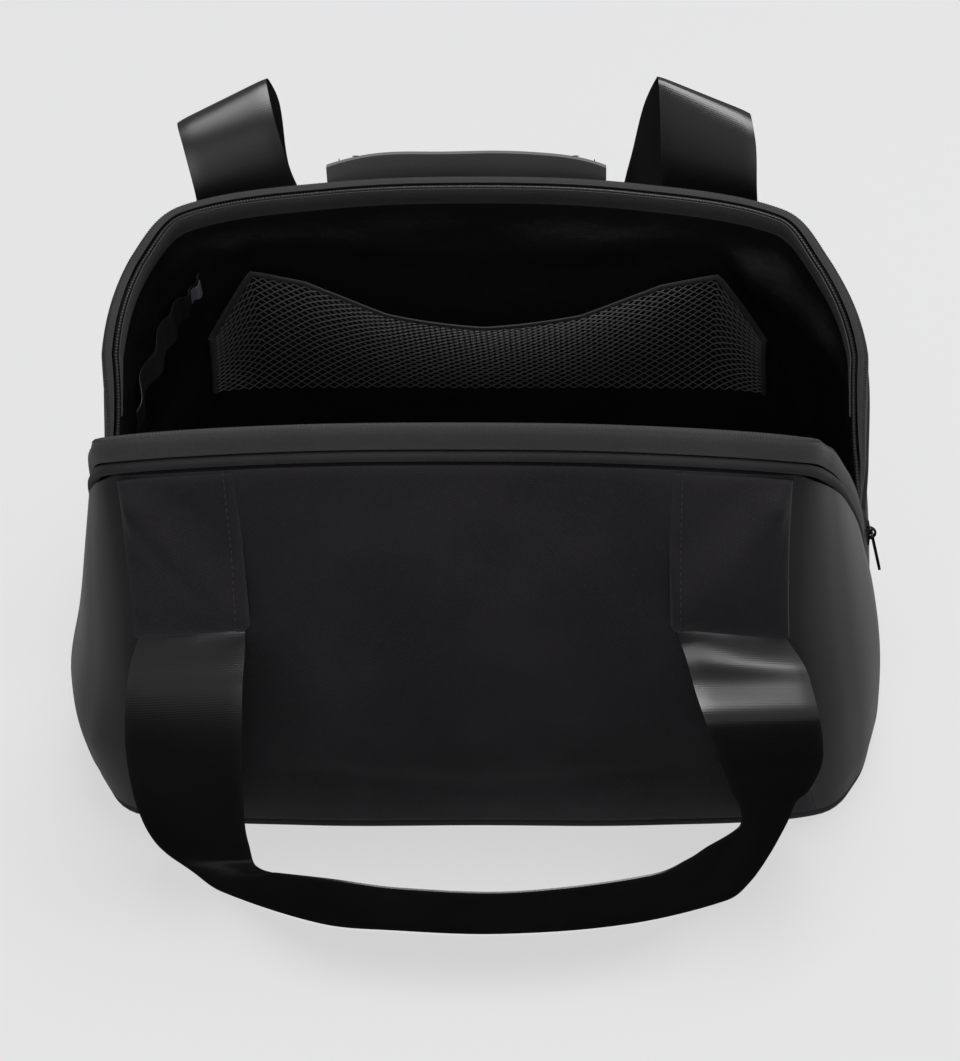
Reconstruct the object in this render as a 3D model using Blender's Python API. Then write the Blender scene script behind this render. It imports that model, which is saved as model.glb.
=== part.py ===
"""Open helmet bag standing on its base, modelled as the pieces it is sewn from.

Metres, +Z up. The front of the bag faces -Y, and the origin is on the floor under the middle of the base.
Walls, piping, zip and lining all read one wall surface at the same stations, so they keep their clearances.
"""
import math

import bmesh
import bpy
from mathutils import Vector

# Body of the bag
BODY_WIDTH = 0.376            # across the widest part of the side gussets
BODY_DEPTH = 0.224            # front seam to back seam at the mouth
SEAM_HEIGHT = 0.208           # floor to the piped mouth seam, at the middle of the front
SWAY = 0.004                  # how far the open front leans to the bag's right-hand side
WALL = 0.003                  # padded cloth of the panels and gussets
BASE_THICKNESS = 0.004
BASE_EDGE = 0.0012            # rounding of the base panel's edge
LINING = 0.001
GAP = 0.0003                  # between any two pieces that touch

# Mouth: piping, zip tapes and coils
PIPING_RADIUS = 0.0023
PIPING_SIDES = 6
TAPE_WIDTH = 0.0135
TAPE_THICKNESS = 0.001
COIL_RADIUS = 0.0012
COIL_SIDES = 5
LINING_ABOVE_SEAM = 0.0075    # the lining's turned edge reaches this far up behind the tape
LINING_PLAY = 0.0015          # extra room between lining and piping

# Slider and pull tab, at the right-hand end of the zip
SLIDER_HEIGHT = 0.009
SLIDER_WIDTH = 0.008
SLIDER_PLATE = 0.0009
SLIDER_POST = 0.0008
SLIDER_PLAY = 0.0012          # between each plate and the coils
BRIDGE_RISE = 0.0034
BRIDGE_BAR = 0.0012
BRIDGE_WIDTH = 0.0024
TAB_LENGTH = 0.021
TAB_WIDTH = 0.0056
TAB_THICKNESS = 0.0013
TAB_SLOT = 0.0028             # width of the slot in the tab
TAB_LEAN_DEG = 14.0           # how far the hanging tab stands out from the vertical

# Webbing handles and their patches
WEBBING_WIDTH = 0.050
WEBBING_THICKNESS = 0.0016
WEBBING_SIDE = 0.035          # clearance beside the webbing under a patch, in stations
WEBBING_ROWS = (4.40, 4.00, 3.80)       # wall rows where the webbing lies on the wall, top first
PATCH_THICKNESS = 0.0012
PATCH_ROWS = (3.90, 4.50, 5.00, 5.60)   # wall rows from the open lower edge to the top
PATCH_LIFTS = (1.0, 1.0, 0.45, 0.1)     # of the clearance that the webbing needs
PATCH_STATIONS = (1.25, 1.42, 1.60, 1.80, 2.00)     # columns across a patch, from the panel's middle

# Sleeve behind the back panel
SLEEVE_HALF = 0.93            # half its width, in stations
SLEEVE_SHIFT = 0.11           # its middle lies this many stations to the left
SLEEVE_THICKNESS = 0.002
SLEEVE_BOW = 0.014
SLEEVE_BOTTOM = 0.118
SLEEVE_TOP = 0.217

# Mesh pocket and care label inside
POCKET_BOTTOM = 0.094
POCKET_THICKNESS = 0.0012
POCKET_PLAY = 0.0008
POCKET_SAG = 0.038            # how far the hem sags away from the back wall
LABEL_WIDTH = 0.013
LABEL_THICKNESS = 0.0008

HALF_WIDTH = BODY_WIDTH / 2
HALF_DEPTH = BODY_DEPTH / 2
FLOOR_LEVEL = BASE_THICKNESS + GAP
LINING_OUT = WALL + GAP
LINING_IN = LINING_OUT + LINING

# Stations round the right half of the bag, from the middle of the front to the middle of the back.
# floor, belly and seam are plan places on the wall: x in shares of HALF_WIDTH, y in shares of HALF_DEPTH.
# seam_z is in shares of SEAM_HEIGHT. Higher station numbers carry on round the left half.
#        floor_x floor_y  belly_x belly_y  seam_x  seam_y  seam_z
STATIONS = (
    (0.000, -0.930, 0.000, -1.080, 0.000, -1.000, 1.000),    # front middle
    (0.405, -0.930, 0.375, -1.080, 0.365, -1.000, 0.994),
    (0.810, -0.870, 0.732, -1.050, 0.716, -0.950, 0.952),    # front seam
    (0.915, -0.680, 0.900, -0.790, 0.800, -0.760, 0.856),
    (0.955, -0.430, 0.980, -0.465, 0.860, -0.470, 0.690),
    (0.968, -0.215, 0.998, -0.235, 0.908, -0.230, 0.520),
    (0.972, -0.100, 1.000, -0.110, 0.930, -0.112, 0.392),
    (0.972, 0.000, 1.000, 0.000, 0.936, 0.000, 0.330),       # zip end
    (0.972, 0.100, 1.000, 0.110, 0.940, 0.112, 0.392),
    (0.968, 0.215, 0.998, 0.235, 0.946, 0.225, 0.530),
    (0.955, 0.430, 0.980, 0.465, 0.936, 0.470, 0.715),
    (0.915, 0.680, 0.900, 0.790, 0.860, 0.760, 0.856),
    (0.810, 0.870, 0.745, 1.010, 0.742, 0.930, 0.930),       # back seam
    (0.405, 0.930, 0.385, 1.050, 0.375, 0.965, 0.962),
    (0.000, 0.930, 0.000, 1.050, 0.000, 0.975, 0.976),       # back middle
)
FRONT_SEAM, ZIP_END, BACK_SEAM, BACK_MIDDLE = 2, 7, 12, 14
WHOLE_TURN = 2 * BACK_MIDDLE
SIDEWAYS = (0, 2, 4)          # table columns that change sign on the left
TAPE_END = 0.5                # tapes and coils stop this many stations short of the zip end
SLIDER_STATION = 6.05
BELLY_SHARE = 0.42            # height of the belly, as a share of the wall height
WALL_ROWS = 6                 # rows of faces up the walls

# Stations where every piece is cut into faces, for a quarter turn.
QUARTER = (0, 0.65, 1.2, 1.6, 2, 2.25, 2.55, 2.9, 3.4, 4, 4.5, 5, 5.4, 5.75, 6, 6.25, 6.5, 6.75, 7)

# Outer face of the zip tape across its width, curled over the rim and laid flat at the zip's ends.
# curl_in and curl_up are shares of TAPE_WIDTH from the seam; flat is a share of the flat tape.
#        curl_in curl_up flat
TAPE_PROFILE = (
    (0.000, 0.230, 0.00),
    (-0.020, 0.420, 0.17),
    (0.005, 0.640, 0.34),
    (0.065, 0.800, 0.50),
    (0.175, 0.900, 0.67),
    (0.320, 0.905, 0.84),
    (0.445, 0.820, 1.00),
)

# Height of the mesh pocket's hem at stations from its side to its middle, in shares of SEAM_HEIGHT.
#        station height
POCKET_HEM = (
    (12.0, 0.600),
    (12.4, 0.800),
    (12.8, 0.800),
    (13.35, 0.750),
    (14.0, 0.735),
)

# Care label on the lining's left rear corner: station, and height in shares of SEAM_HEIGHT.
LABEL_ROUTE = ((16.0, 0.770), (16.25, 0.745), (16.55, 0.712), (16.9, 0.670), (17.4, 0.612), (18.0, 0.550))

# Front handle, from the left strap along the floor to the right strap: its outer edge, which turns into
# the lower edge, and its inner one. x in shares of HALF_WIDTH, y of HALF_DEPTH, z of WEBBING_WIDTH.
#        outer_x outer_y outer_z  inner_x inner_y inner_z
FRONT_HANDLE = (
    (-0.734, -1.125, 2.330, -0.482, -1.170, 2.440),
    (-0.744, -1.179, 2.094, -0.484, -1.232, 2.250),
    (-0.755, -1.196, 1.578, -0.490, -1.268, 1.778),
    (-0.760, -1.170, 1.012, -0.502, -1.277, 1.236),
    (-0.760, -1.134, 0.536, -0.511, -1.277, 0.738),
    (-0.749, -1.107, 0.212, -0.508, -1.295, 0.540),
    (-0.724, -1.105, 0.040, -0.501, -1.325, 0.440),
    (-0.665, -1.188, 0.034, -0.473, -1.404, 0.520),
    (-0.584, -1.302, 0.034, -0.433, -1.504, 0.712),
    (-0.348, -1.469, 0.034, -0.298, -1.634, 0.930),
    (-0.186, -1.504, 0.034, -0.144, -1.679, 0.928),
    (0.066, -1.523, 0.034, 0.106, -1.696, 0.928),
    (0.362, -1.469, 0.034, 0.399, -1.621, 0.952),
    (0.580, -1.348, 0.034, 0.487, -1.504, 0.880),
    (0.633, -1.259, 0.034, 0.526, -1.429, 0.840),
    (0.686, -1.110, 0.050, 0.580, -1.345, 0.810),
    (0.728, -1.020, 0.240, 0.606, -1.310, 0.850),
    (0.745, -1.024, 0.500, 0.604, -1.312, 1.020),
    (0.766, -1.107, 0.821, 0.578, -1.339, 1.298),
    (0.781, -1.186, 1.274, 0.554, -1.366, 1.611),
    (0.773, -1.252, 1.667, 0.529, -1.384, 1.933),
    (0.759, -1.267, 1.995, 0.508, -1.384, 2.203),
    (0.746, -1.214, 2.190, 0.488, -1.309, 2.370),
    (0.733, -1.150, 2.300, 0.475, -1.205, 2.450),
)

# Back handle: it leaves each slit downwards, turns up outside the patch, folds over behind and hangs.
BACK_HANDLE = (
    (-0.735, 1.075, 2.300, -0.486, 1.110, 2.450),
    (-0.738, 1.100, 2.180, -0.487, 1.150, 2.330),
    (-0.740, 1.150, 2.180, -0.488, 1.195, 2.330),
    (-0.738, 1.165, 2.450, -0.487, 1.210, 2.600),
    (-0.733, 1.120, 3.200, -0.484, 1.190, 3.300),
    (-0.732, 1.090, 4.000, -0.505, 1.190, 4.250),
    (-0.755, 1.065, 4.600, -0.540, 1.170, 4.980),
    (-0.758, 1.095, 4.740, -0.545, 1.230, 5.100),
    (-0.750, 1.180, 4.700, -0.540, 1.330, 4.980),
    (-0.735, 1.290, 4.300, -0.530, 1.490, 4.400),
    (-0.685, 1.260, 3.700, -0.500, 1.640, 3.700),
    (-0.500, 1.260, 3.130, -0.440, 1.690, 3.130),
    (-0.240, 1.270, 2.800, -0.220, 1.710, 2.800),
    (0.000, 1.275, 2.720, 0.000, 1.720, 2.720),
    (0.220, 1.270, 2.800, 0.200, 1.710, 2.800),
    (0.470, 1.260, 3.130, 0.400, 1.690, 3.130),
    (0.630, 1.260, 3.700, 0.430, 1.640, 3.700),
    (0.660, 1.290, 4.300, 0.440, 1.490, 4.400),
    (0.672, 1.180, 4.520, 0.440, 1.330, 4.800),
    (0.680, 1.095, 4.560, 0.448, 1.230, 4.900),
    (0.678, 1.065, 4.400, 0.450, 1.170, 4.780),
    (0.690, 1.090, 4.000, 0.450, 1.190, 4.250),
    (0.715, 1.120, 3.200, 0.468, 1.190, 3.300),
    (0.738, 1.165, 2.450, 0.487, 1.210, 2.600),
    (0.740, 1.150, 2.180, 0.488, 1.195, 2.330),
    (0.738, 1.100, 2.180, 0.487, 1.150, 2.330),
    (0.735, 1.075, 2.300, 0.486, 1.110, 2.450),
)
HANDLE_SEGMENTS = 2           # between two rows of a handle's table


# Smooth curves through tables

def smooth(values, knots, share):
    """Return the smooth curve between the middle two of four values, at a share of the way."""
    span = knots[2] - knots[1]
    start = (values[2] - values[0]) / (knots[2] - knots[0]) * span
    end = (values[3] - values[1]) / (knots[3] - knots[1]) * span
    s = share
    return ((1 + 2 * s) * (1 - s) ** 2 * values[1] + s * (1 - s) ** 2 * start
            + s * s * (3 - 2 * s) * values[2] - s * s * (1 - s) * end)


def between(table, where):
    """Return the second column of a two-column table at a place in its first column."""
    rows = zip(table, table[1:])
    (x0, y0), (x1, y1) = next((pair for pair in rows if where <= pair[1][0]), table[-2:])
    return y0 + (y1 - y0) * (where - x0) / (x1 - x0)


def ease(share):
    """Return a share clamped to 0..1 and eased at both ends."""
    share = min(1.0, max(0.0, share))
    return share * share * (3 - 2 * share)


# Stations

def station_distances():
    """Return how far round the belly each table row lies, in shares of the half width."""
    distances = [0.0]
    for before, after in zip(STATIONS, STATIONS[1:]):
        across = after[2] - before[2]
        along = (after[3] - before[3]) * HALF_DEPTH / HALF_WIDTH
        distances.append(distances[-1] + math.hypot(across, along))
    return distances


DISTANCES = station_distances()


def knot(number):
    """Return the distance round the bag of a whole station number."""
    turns, place = divmod(number, WHOLE_TURN)
    round_half = 2 * DISTANCES[-1]
    distance = DISTANCES[place] if place <= BACK_MIDDLE else round_half - DISTANCES[WHOLE_TURN - place]
    return distance + turns * round_half


def table_row(number):
    """Return the table row of a whole station number, mirrored on the left."""
    place = number % WHOLE_TURN
    if place <= BACK_MIDDLE:
        return STATIONS[place]
    row = STATIONS[WHOLE_TURN - place]
    return [-value if column in SIDEWAYS else value for column, value in enumerate(row)]


def columns_at(station):
    """Return the seven table columns at any station number."""
    low = math.floor(station)
    numbers = range(low - 1, low + 3)
    knots = [knot(n) for n in numbers]
    rows = [table_row(n) for n in numbers]
    return [smooth(column, knots, station - low) for column in zip(*rows)]


def from_zip_end(station):
    """Return how many stations a place is from the nearer end of the zip."""
    return abs(station % BACK_MIDDLE - ZIP_END)


def stations_between(first, last):
    """Return the stations where pieces are cut into faces, from first to last."""
    half = list(QUARTER) + [BACK_MIDDLE - q for q in QUARTER[-2::-1]]
    turn = half + [BACK_MIDDLE + s for s in half[1:]]
    every = [s + start for start in (-WHOLE_TURN, 0) for s in turn[:-1]] + [WHOLE_TURN]
    return [s for s in every if first - 0.001 <= s <= last + 0.001]


def station_step(station, length):
    """Return how many stations make a length round the bag at a station."""
    step = 0.01
    run = (plan_point(station + step, 0.5) - plan_point(station - step, 0.5)).length
    return 2 * step * length / run


# Wall surface

def plan_point(station, share):
    """Return the wall's outer face at a share of its height, without the sway."""
    floor_x, floor_y, belly_x, belly_y, seam_x, seam_y, seam_z = columns_at(station)
    b = BELLY_SHARE
    weights = (
        (share - b) * (share - 1) / b,
        share * (share - 1) / (b * (b - 1)),
        share * (share - b) / (1 - b),
    )
    x = HALF_WIDTH * (weights[0] * floor_x + weights[1] * belly_x + weights[2] * seam_x)
    y = HALF_DEPTH * (weights[0] * floor_y + weights[1] * belly_y + weights[2] * seam_y)
    z = FLOOR_LEVEL + share * (SEAM_HEIGHT * seam_z - FLOOR_LEVEL)
    return Vector((x, y, z))


def outward(station, share):
    """Return the level direction that points out of the wall."""
    step = 0.02
    along = plan_point(station + step, share) - plan_point(station - step, share)
    return Vector((along.y, -along.x, 0.0)).normalized()


def wall_point(station, share, inward=0.0):
    """Return a place on the wall, moved level by inward; the open front leans to one side."""
    point = plan_point(station, share) - outward(station, share) * inward
    front = max(0.0, -point.y / HALF_DEPTH)
    point.x -= SWAY * front * point.z / SEAM_HEIGHT
    return point


def seam_frame(station):
    """Return the mouth seam's point, its outward direction and the direction up the wall from it."""
    step = 0.02
    point = wall_point(station, 1.0)
    along = (wall_point(station + step, 1.0) - wall_point(station - step, 1.0)).normalized()
    out = outward(station, 1.0)
    out = (out - along * out.dot(along)).normalized()
    upward = along.cross(out)
    return point, out, upward if upward.z > 0 else -upward


def wall_top(station):
    """Return the share of the height where the wall stops below the piping."""
    point, _, upward = seam_frame(station)
    return 1.0 - (PIPING_RADIUS + 3 * GAP) / (upward.z * (point.z - FLOOR_LEVEL))


def wall_share(station, row):
    """Return the share of the height of a wall row, counted from the base."""
    return wall_top(station) * row / WALL_ROWS


def height_share(station, z):
    """Return the share of the wall's height at a height above the floor."""
    return (z - FLOOR_LEVEL) / (plan_point(station, 1.0).z - FLOOR_LEVEL)


# Solids

def finish(name, data, look):
    """Turn a bmesh into a named object with its own material."""
    colour, roughness, metallic = look
    bmesh.ops.recalc_face_normals(data, faces=data.faces)
    bmesh.ops.triangulate(data, faces=data.faces)
    mesh = bpy.data.meshes.new(name)
    data.to_mesh(mesh)
    data.free()
    mesh.shade_smooth()
    mesh.set_sharp_from_angle(angle=math.radians(40))
    material = bpy.data.materials.new(name)
    material.use_nodes = True
    shader = material.node_tree.nodes["Principled BSDF"]
    shader.inputs["Base Color"].default_value = (*colour, 1.0)
    shader.inputs["Roughness"].default_value = roughness
    shader.inputs["Metallic"].default_value = metallic
    mesh.materials.append(material)
    obj = bpy.data.objects.new(name, mesh)
    bpy.context.scene.collection.objects.link(obj)
    return obj


def strip(data, first, second, closed=False):
    """Join two rows of vertices with triangles, split along the same diagonal everywhere."""
    count = len(first)
    for k in range(count if closed else count - 1):
        n = (k + 1) % count
        data.faces.new((first[k], first[n], second[n]))
        data.faces.new((first[k], second[n], second[k]))


def shell(name, outer, inner, look):
    """Build a closed wall between two grids of points that have the same rows and columns."""
    data = bmesh.new()
    grids = [[[data.verts.new(p) for p in row] for row in grid] for grid in (outer, inner)]
    for grid in grids:
        for first, second in zip(grid, grid[1:]):
            strip(data, first, second)
    rims = [grid[0] + [row[-1] for row in grid[1:]] + grid[-1][-2::-1] + [row[0] for row in grid[-2:0:-1]]
            for grid in grids]
    strip(data, rims[0], rims[1], closed=True)
    return finish(name, data, look)


def tub(name, outer, inner, look):
    """Build an open tub between two stacks of rings, each closed at its first ring."""
    data = bmesh.new()
    stacks = [[[data.verts.new(p) for p in ring] for ring in stack] for stack in (outer, inner)]
    for stack in stacks:
        data.faces.new(stack[0])
        for first, second in zip(stack, stack[1:]):
            strip(data, first, second, closed=True)
    strip(data, stacks[0][-1], stacks[1][-1], closed=True)
    return finish(name, data, look)


def sweep(name, rings, look):
    """Build a solid through rings of points, capped at both ends."""
    data = bmesh.new()
    loops = [[data.verts.new(p) for p in ring] for ring in rings]
    for first, second in zip(loops, loops[1:]):
        strip(data, first, second, closed=True)
    data.faces.new(loops[0])
    data.faces.new(loops[-1])
    return finish(name, data, look)


# Colour, roughness and metallic of each material
CLOTH = ((0.018, 0.018, 0.020), 0.85, 0.0)
GUSSET_CLOTH = ((0.030, 0.030, 0.033), 0.75, 0.0)
TAPE_CLOTH = ((0.035, 0.035, 0.037), 0.80, 0.0)
WEBBING = ((0.012, 0.012, 0.013), 0.45, 0.0)
LINING_CLOTH = ((0.012, 0.012, 0.013), 0.60, 0.0)
COIL_NYLON = ((0.020, 0.020, 0.020), 0.35, 0.0)
BLACK_METAL = ((0.020, 0.020, 0.020), 0.25, 1.0)


# Panels, gussets and base

def wall_panel(name, first, last, look):
    """Build one wall between two seams, from the base panel up to the piping."""
    stations = stations_between(first, last)
    stations[0] += station_step(first, GAP / 2)
    stations[-1] -= station_step(last, GAP / 2)
    outer, inner = [], []
    for row in range(WALL_ROWS + 1):
        outer.append([wall_point(s, wall_share(s, row)) for s in stations])
        inner.append([wall_point(s, wall_share(s, row), WALL) for s in stations])
    return shell(name, outer, inner, look)


def base_panel():
    """Build the flat base under the walls, with a rounded edge."""
    heights = (0.0, BASE_EDGE, BASE_THICKNESS - BASE_EDGE, BASE_THICKNESS)
    insets = (BASE_EDGE, 0.0, 0.0, BASE_EDGE)
    around = stations_between(0, WHOLE_TURN)[:-1:2]
    rings = []
    for z, inset in zip(heights, insets):
        rings.append([Vector((*wall_point(s, 0.0, inset).xy, z)) for s in around])
    return sweep("base_panel", rings, CLOTH)


# Mouth

def circle(centre, out, upward, radius, sides):
    """Return a ring of points round a centre."""
    turns = [2 * math.pi * k / sides for k in range(sides)]
    return [centre + (out * math.cos(turn) + upward * math.sin(turn)) * radius for turn in turns]


def piping(name, first, last):
    """Build the piping cord on top of the walls, along the mouth seam."""
    stations = stations_between(first, last)
    stations[0] += station_step(first, GAP / 2)
    stations[-1] -= station_step(last, GAP / 2)
    rings = []
    for s in stations:
        point, out, upward = seam_frame(s)
        rings.append(circle(point - out * PIPING_RADIUS * 0.1, out, upward, PIPING_RADIUS, PIPING_SIDES))
    return sweep(name, rings, CLOTH)


def curl(station):
    """Return 1 where the tape curls over the rim and 0 where it lies flat at the zip's ends."""
    return ease((from_zip_end(station) - 1.0) / 2.0)


def flat_width(station):
    """Return the flat tape's width: near the zip end the two tapes share what room there is."""
    point, _, upward = seam_frame(station)
    start = PIPING_RADIUS + 2 * GAP
    room = abs(point.y) - 2 * COIL_RADIUS - 3 * GAP - SLIDER_POST
    lean = abs(upward.y)
    reach = room / lean - start if lean > 0.05 and upward.y * point.y < 0 else TAPE_WIDTH
    return max(min(TAPE_WIDTH * 0.75, reach), TAPE_THICKNESS)


def tape_point(station, place):
    """Return a place of the tape's profile, given as curl_in, curl_up and flat."""
    point, out, upward = seam_frame(station)
    amount = curl(station)
    curl_in, curl_up, flat = place
    flat_rise = PIPING_RADIUS + 2 * GAP + flat * flat_width(station)
    rise = amount * curl_up * TAPE_WIDTH + (1 - amount) * flat_rise
    return point - out * amount * curl_in * TAPE_WIDTH + upward * rise


def zip_tape(name, first, last):
    """Build one half of the zip tape, from the piping over the rim to the coil."""
    faces, backs = [], []
    for s in stations_between(first, last):
        _, out, upward = seam_frame(s)
        face = [tape_point(s, place) for place in TAPE_PROFILE]
        back = []
        for k, p in enumerate(face):
            run = face[min(k + 1, len(face) - 1)] - face[max(k - 1, 0)]
            side = run.dot(upward) * out - run.dot(out) * upward
            back.append(p - side.normalized() * TAPE_THICKNESS)
        faces.append(face)
        backs.append(back)
    return shell(name, faces, backs, TAPE_CLOTH)


def coil_centre(station):
    """Return the middle of the zip coil, just beyond the tape's edge."""
    _, out, upward = seam_frame(station)
    before, edge = (tape_point(station, place) for place in TAPE_PROFILE[-2:])
    run = (edge - before).normalized()
    side = run.dot(upward) * out - run.dot(out) * upward
    return edge + run * (COIL_RADIUS + 3 * GAP) - side * TAPE_THICKNESS / 2


def zip_coil(name, first, last):
    """Build the coil of one zip half as a plain bead along the tape's edge."""
    rings = []
    for s in stations_between(first, last):
        _, out, upward = seam_frame(s)
        rings.append(circle(coil_centre(s), out, upward, COIL_RADIUS, COIL_SIDES))
    return sweep(name, rings, COIL_NYLON)


# Lining, pocket and label

def lining_column(station, inward, floor):
    """Return the lining's places at a station, from the floor to the rim behind the tape."""
    point, out, upward = seam_frame(station)
    clear = inward + LINING_PLAY
    places = [Vector((*wall_point(station, 0.0, inward).xy, floor))]
    places += [wall_point(station, wall_share(station, row), inward) for row in range(1, WALL_ROWS)]
    places.append(wall_point(station, wall_share(station, WALL_ROWS), clear))
    places.append(point - out * clear + upward * LINING_ABOVE_SEAM * curl(station))
    return places


def lining():
    """Build the lining as one open tub inside the walls."""
    around = stations_between(0, WHOLE_TURN)[:-1]

    def rings(inward, floor):
        return list(zip(*(lining_column(s, inward, floor) for s in around)))

    outer = rings(LINING_OUT, FLOOR_LEVEL)
    inner = rings(LINING_IN, FLOOR_LEVEL + LINING)
    return tub("lining", outer, inner, LINING_CLOTH)


def pocket_point(station, share, inward):
    """Return a place on the mesh pocket: share runs from its bottom seam to its hem."""
    middle = min(station, WHOLE_TURN - station)
    hem = between(POCKET_HEM, middle) * SEAM_HEIGHT
    across = (BACK_MIDDLE - middle) / (BACK_MIDDLE - BACK_SEAM)
    sag = max(0.0, 1 - across * across) ** 1.5
    z = POCKET_BOTTOM + (hem - POCKET_BOTTOM) * share
    away = LINING_IN + POCKET_PLAY + POCKET_SAG * sag * share ** 1.4
    return wall_point(station, height_share(station, z), away + inward)


def mesh_pocket(rows):
    """Build the mesh pocket on the inside of the back wall, sagging open at its hem."""
    stations = stations_between(BACK_SEAM, WHOLE_TURN - BACK_SEAM)
    outer, inner = [], []
    for r in range(rows + 1):
        outer.append([pocket_point(s, r / rows, 0.0) for s in stations])
        inner.append([pocket_point(s, r / rows, POCKET_THICKNESS) for s in stations])
    return shell("mesh_pocket", outer, inner, LINING_CLOTH)


def care_label():
    """Build the care label, a short ribbon that lies on the lining."""
    faces = []
    for inward in (LINING_IN + POCKET_PLAY, LINING_IN + POCKET_PLAY + LABEL_THICKNESS):
        rows = []
        for side in (-0.5, 0.5):
            heights = [(s, height * SEAM_HEIGHT + side * LABEL_WIDTH) for s, height in LABEL_ROUTE]
            rows.append([wall_point(s, height_share(s, z), inward) for s, z in heights])
        faces.append(rows)
    return shell("care_label", faces[0], faces[1], LINING_CLOTH)


# Handles

def patch_stations(side, back, margin):
    """Return the stations across a patch or the webbing under it, in rising order."""
    stations = list(PATCH_STATIONS)
    stations[0] += margin
    stations[-1] -= station_step(FRONT_SEAM, 2 * GAP) + margin
    if back:
        stations = [BACK_MIDDLE - s for s in stations[::-1]]
    return stations if side > 0 else [-s for s in stations[::-1]]


def patch(name, side, back):
    """Build the cloth patch that holds one end of a handle; its lower edge is open."""
    stations = patch_stations(side, back, 0.0)
    outer, inner = [], []
    for row, amount in zip(PATCH_ROWS, PATCH_LIFTS):
        lift = 1.5 * GAP + amount * (WEBBING_THICKNESS + 2 * GAP)
        outer.append([wall_point(s, wall_share(s, row), -lift - PATCH_THICKNESS) for s in stations])
        inner.append([wall_point(s, wall_share(s, row), -lift) for s in stations])
    return shell(name, outer, inner, CLOTH)


def tucked_rows(side, back):
    """Return the webbing's rows of places on the wall under a patch, top row first, outer edge first."""
    stations = patch_stations(side, back, WEBBING_SIDE)
    if (side > 0) != back:
        stations.reverse()
    lift = GAP * 1.5 + WEBBING_THICKNESS / 2
    return [[wall_point(s, wall_share(s, row), -lift) for s in stations] for row in WEBBING_ROWS]


def free_rows(table):
    """Return a handle table's rows of places, from the outer edge to the inner one."""
    rows = []
    strips = len(PATCH_STATIONS) - 1
    for outer_x, outer_y, outer_z, inner_x, inner_y, inner_z in table:
        outer = Vector((outer_x * HALF_WIDTH, outer_y * HALF_DEPTH, outer_z * WEBBING_WIDTH))
        inner = Vector((inner_x * HALF_WIDTH, inner_y * HALF_DEPTH, inner_z * WEBBING_WIDTH))
        rows.append([outer.lerp(inner, k / strips) for k in range(strips + 1)])
    return rows


def smooth_rows(rows, segments):
    """Return rows of places with smooth rows added between them."""
    knots = [0.0]
    for before, after in zip(rows, rows[1:]):
        moved = sum((b - a).length for a, b in zip(before, after)) / len(before)
        knots.append(knots[-1] + moved)
    count = len(rows)
    result = []
    for i in range(count - 1):
        picks = [max(i - 1, 0), i, i + 1, min(i + 2, count - 1)]
        near = [knots[p] for p in picks]
        near[0] -= 0.001 if picks[0] == i else 0.0
        near[3] += 0.001 if picks[3] == i + 1 else 0.0
        for k in range(segments):
            columns = zip(*(rows[p] for p in picks))
            result.append([smooth(column, near, k / segments) for column in columns])
    return result + [rows[-1]]


def handle(name, table, back):
    """Build a webbing handle as one long strap, tucked under a patch at both ends."""
    rows = tucked_rows(-1, back) + free_rows(table) + tucked_rows(1, back)[::-1]
    rows = smooth_rows(rows, HANDLE_SEGMENTS)
    faces, rears = [], []
    for i, row in enumerate(rows):
        before, after = rows[max(i - 1, 0)], rows[min(i + 1, len(rows) - 1)]
        face, rear = [], []
        for k, place in enumerate(row):
            run = after[k] - before[k]
            across = row[min(k + 1, len(row) - 1)] - row[max(k - 1, 0)]
            half = run.cross(across).normalized() * (WEBBING_THICKNESS / 2)
            face.append(place + half)
            rear.append(place - half)
        faces.append(face)
        rears.append(rear)
    return shell(name, faces, rears, WEBBING)


def back_sleeve(columns, rows):
    """Build the sleeve that bows out behind the back panel, sewn down at its sides."""
    outer, inner = [], []
    for r in range(rows + 1):
        z = SLEEVE_BOTTOM + (SLEEVE_TOP - SLEEVE_BOTTOM) * r / rows
        out_row, in_row = [], []
        for c in range(columns + 1):
            across = 2 * c / columns - 1
            station = BACK_MIDDLE + SLEEVE_SHIFT + across * SLEEVE_HALF
            share = min(1.0, height_share(station, z))
            place = wall_point(station, share)
            bow = SLEEVE_BOW * (1 - across ** 4) * min(1.0, 0.45 + r / rows)
            y = place.y + 3 * GAP + PIPING_RADIUS * ease(4 * share - 3) + bow
            in_row.append(Vector((place.x, y, z)))
            out_row.append(Vector((place.x, y + SLEEVE_THICKNESS, z)))
        outer.append(out_row)
        inner.append(in_row)
    return shell("back_sleeve", outer, inner, GUSSET_CLOTH)


# Slider and pull tab

def united(name, boxes, look):
    """Join boxes that overlap into one body."""
    parts = []
    for low, high in boxes:
        data = bmesh.new()
        for vert in bmesh.ops.create_cube(data, size=1.0)["verts"]:
            vert.co = [high[k] if vert.co[k] > 0 else low[k] for k in range(3)]
        parts.append(finish(f"{name}_cutter" if parts else name, data, look))
    body = parts[0]
    for other in parts[1:]:
        modifier = body.modifiers.new(other.name, "BOOLEAN")
        modifier.operation = "UNION"
        modifier.solver = "EXACT"
        modifier.object = other
        other.hide_render = True
        other.display_type = "WIRE"
    return parts


def slider_place():
    """Return the slider's middle, on the line where the two coils meet."""
    coil = coil_centre(SLIDER_STATION)
    return Vector((coil.x, 0.0, coil.z))


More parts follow.
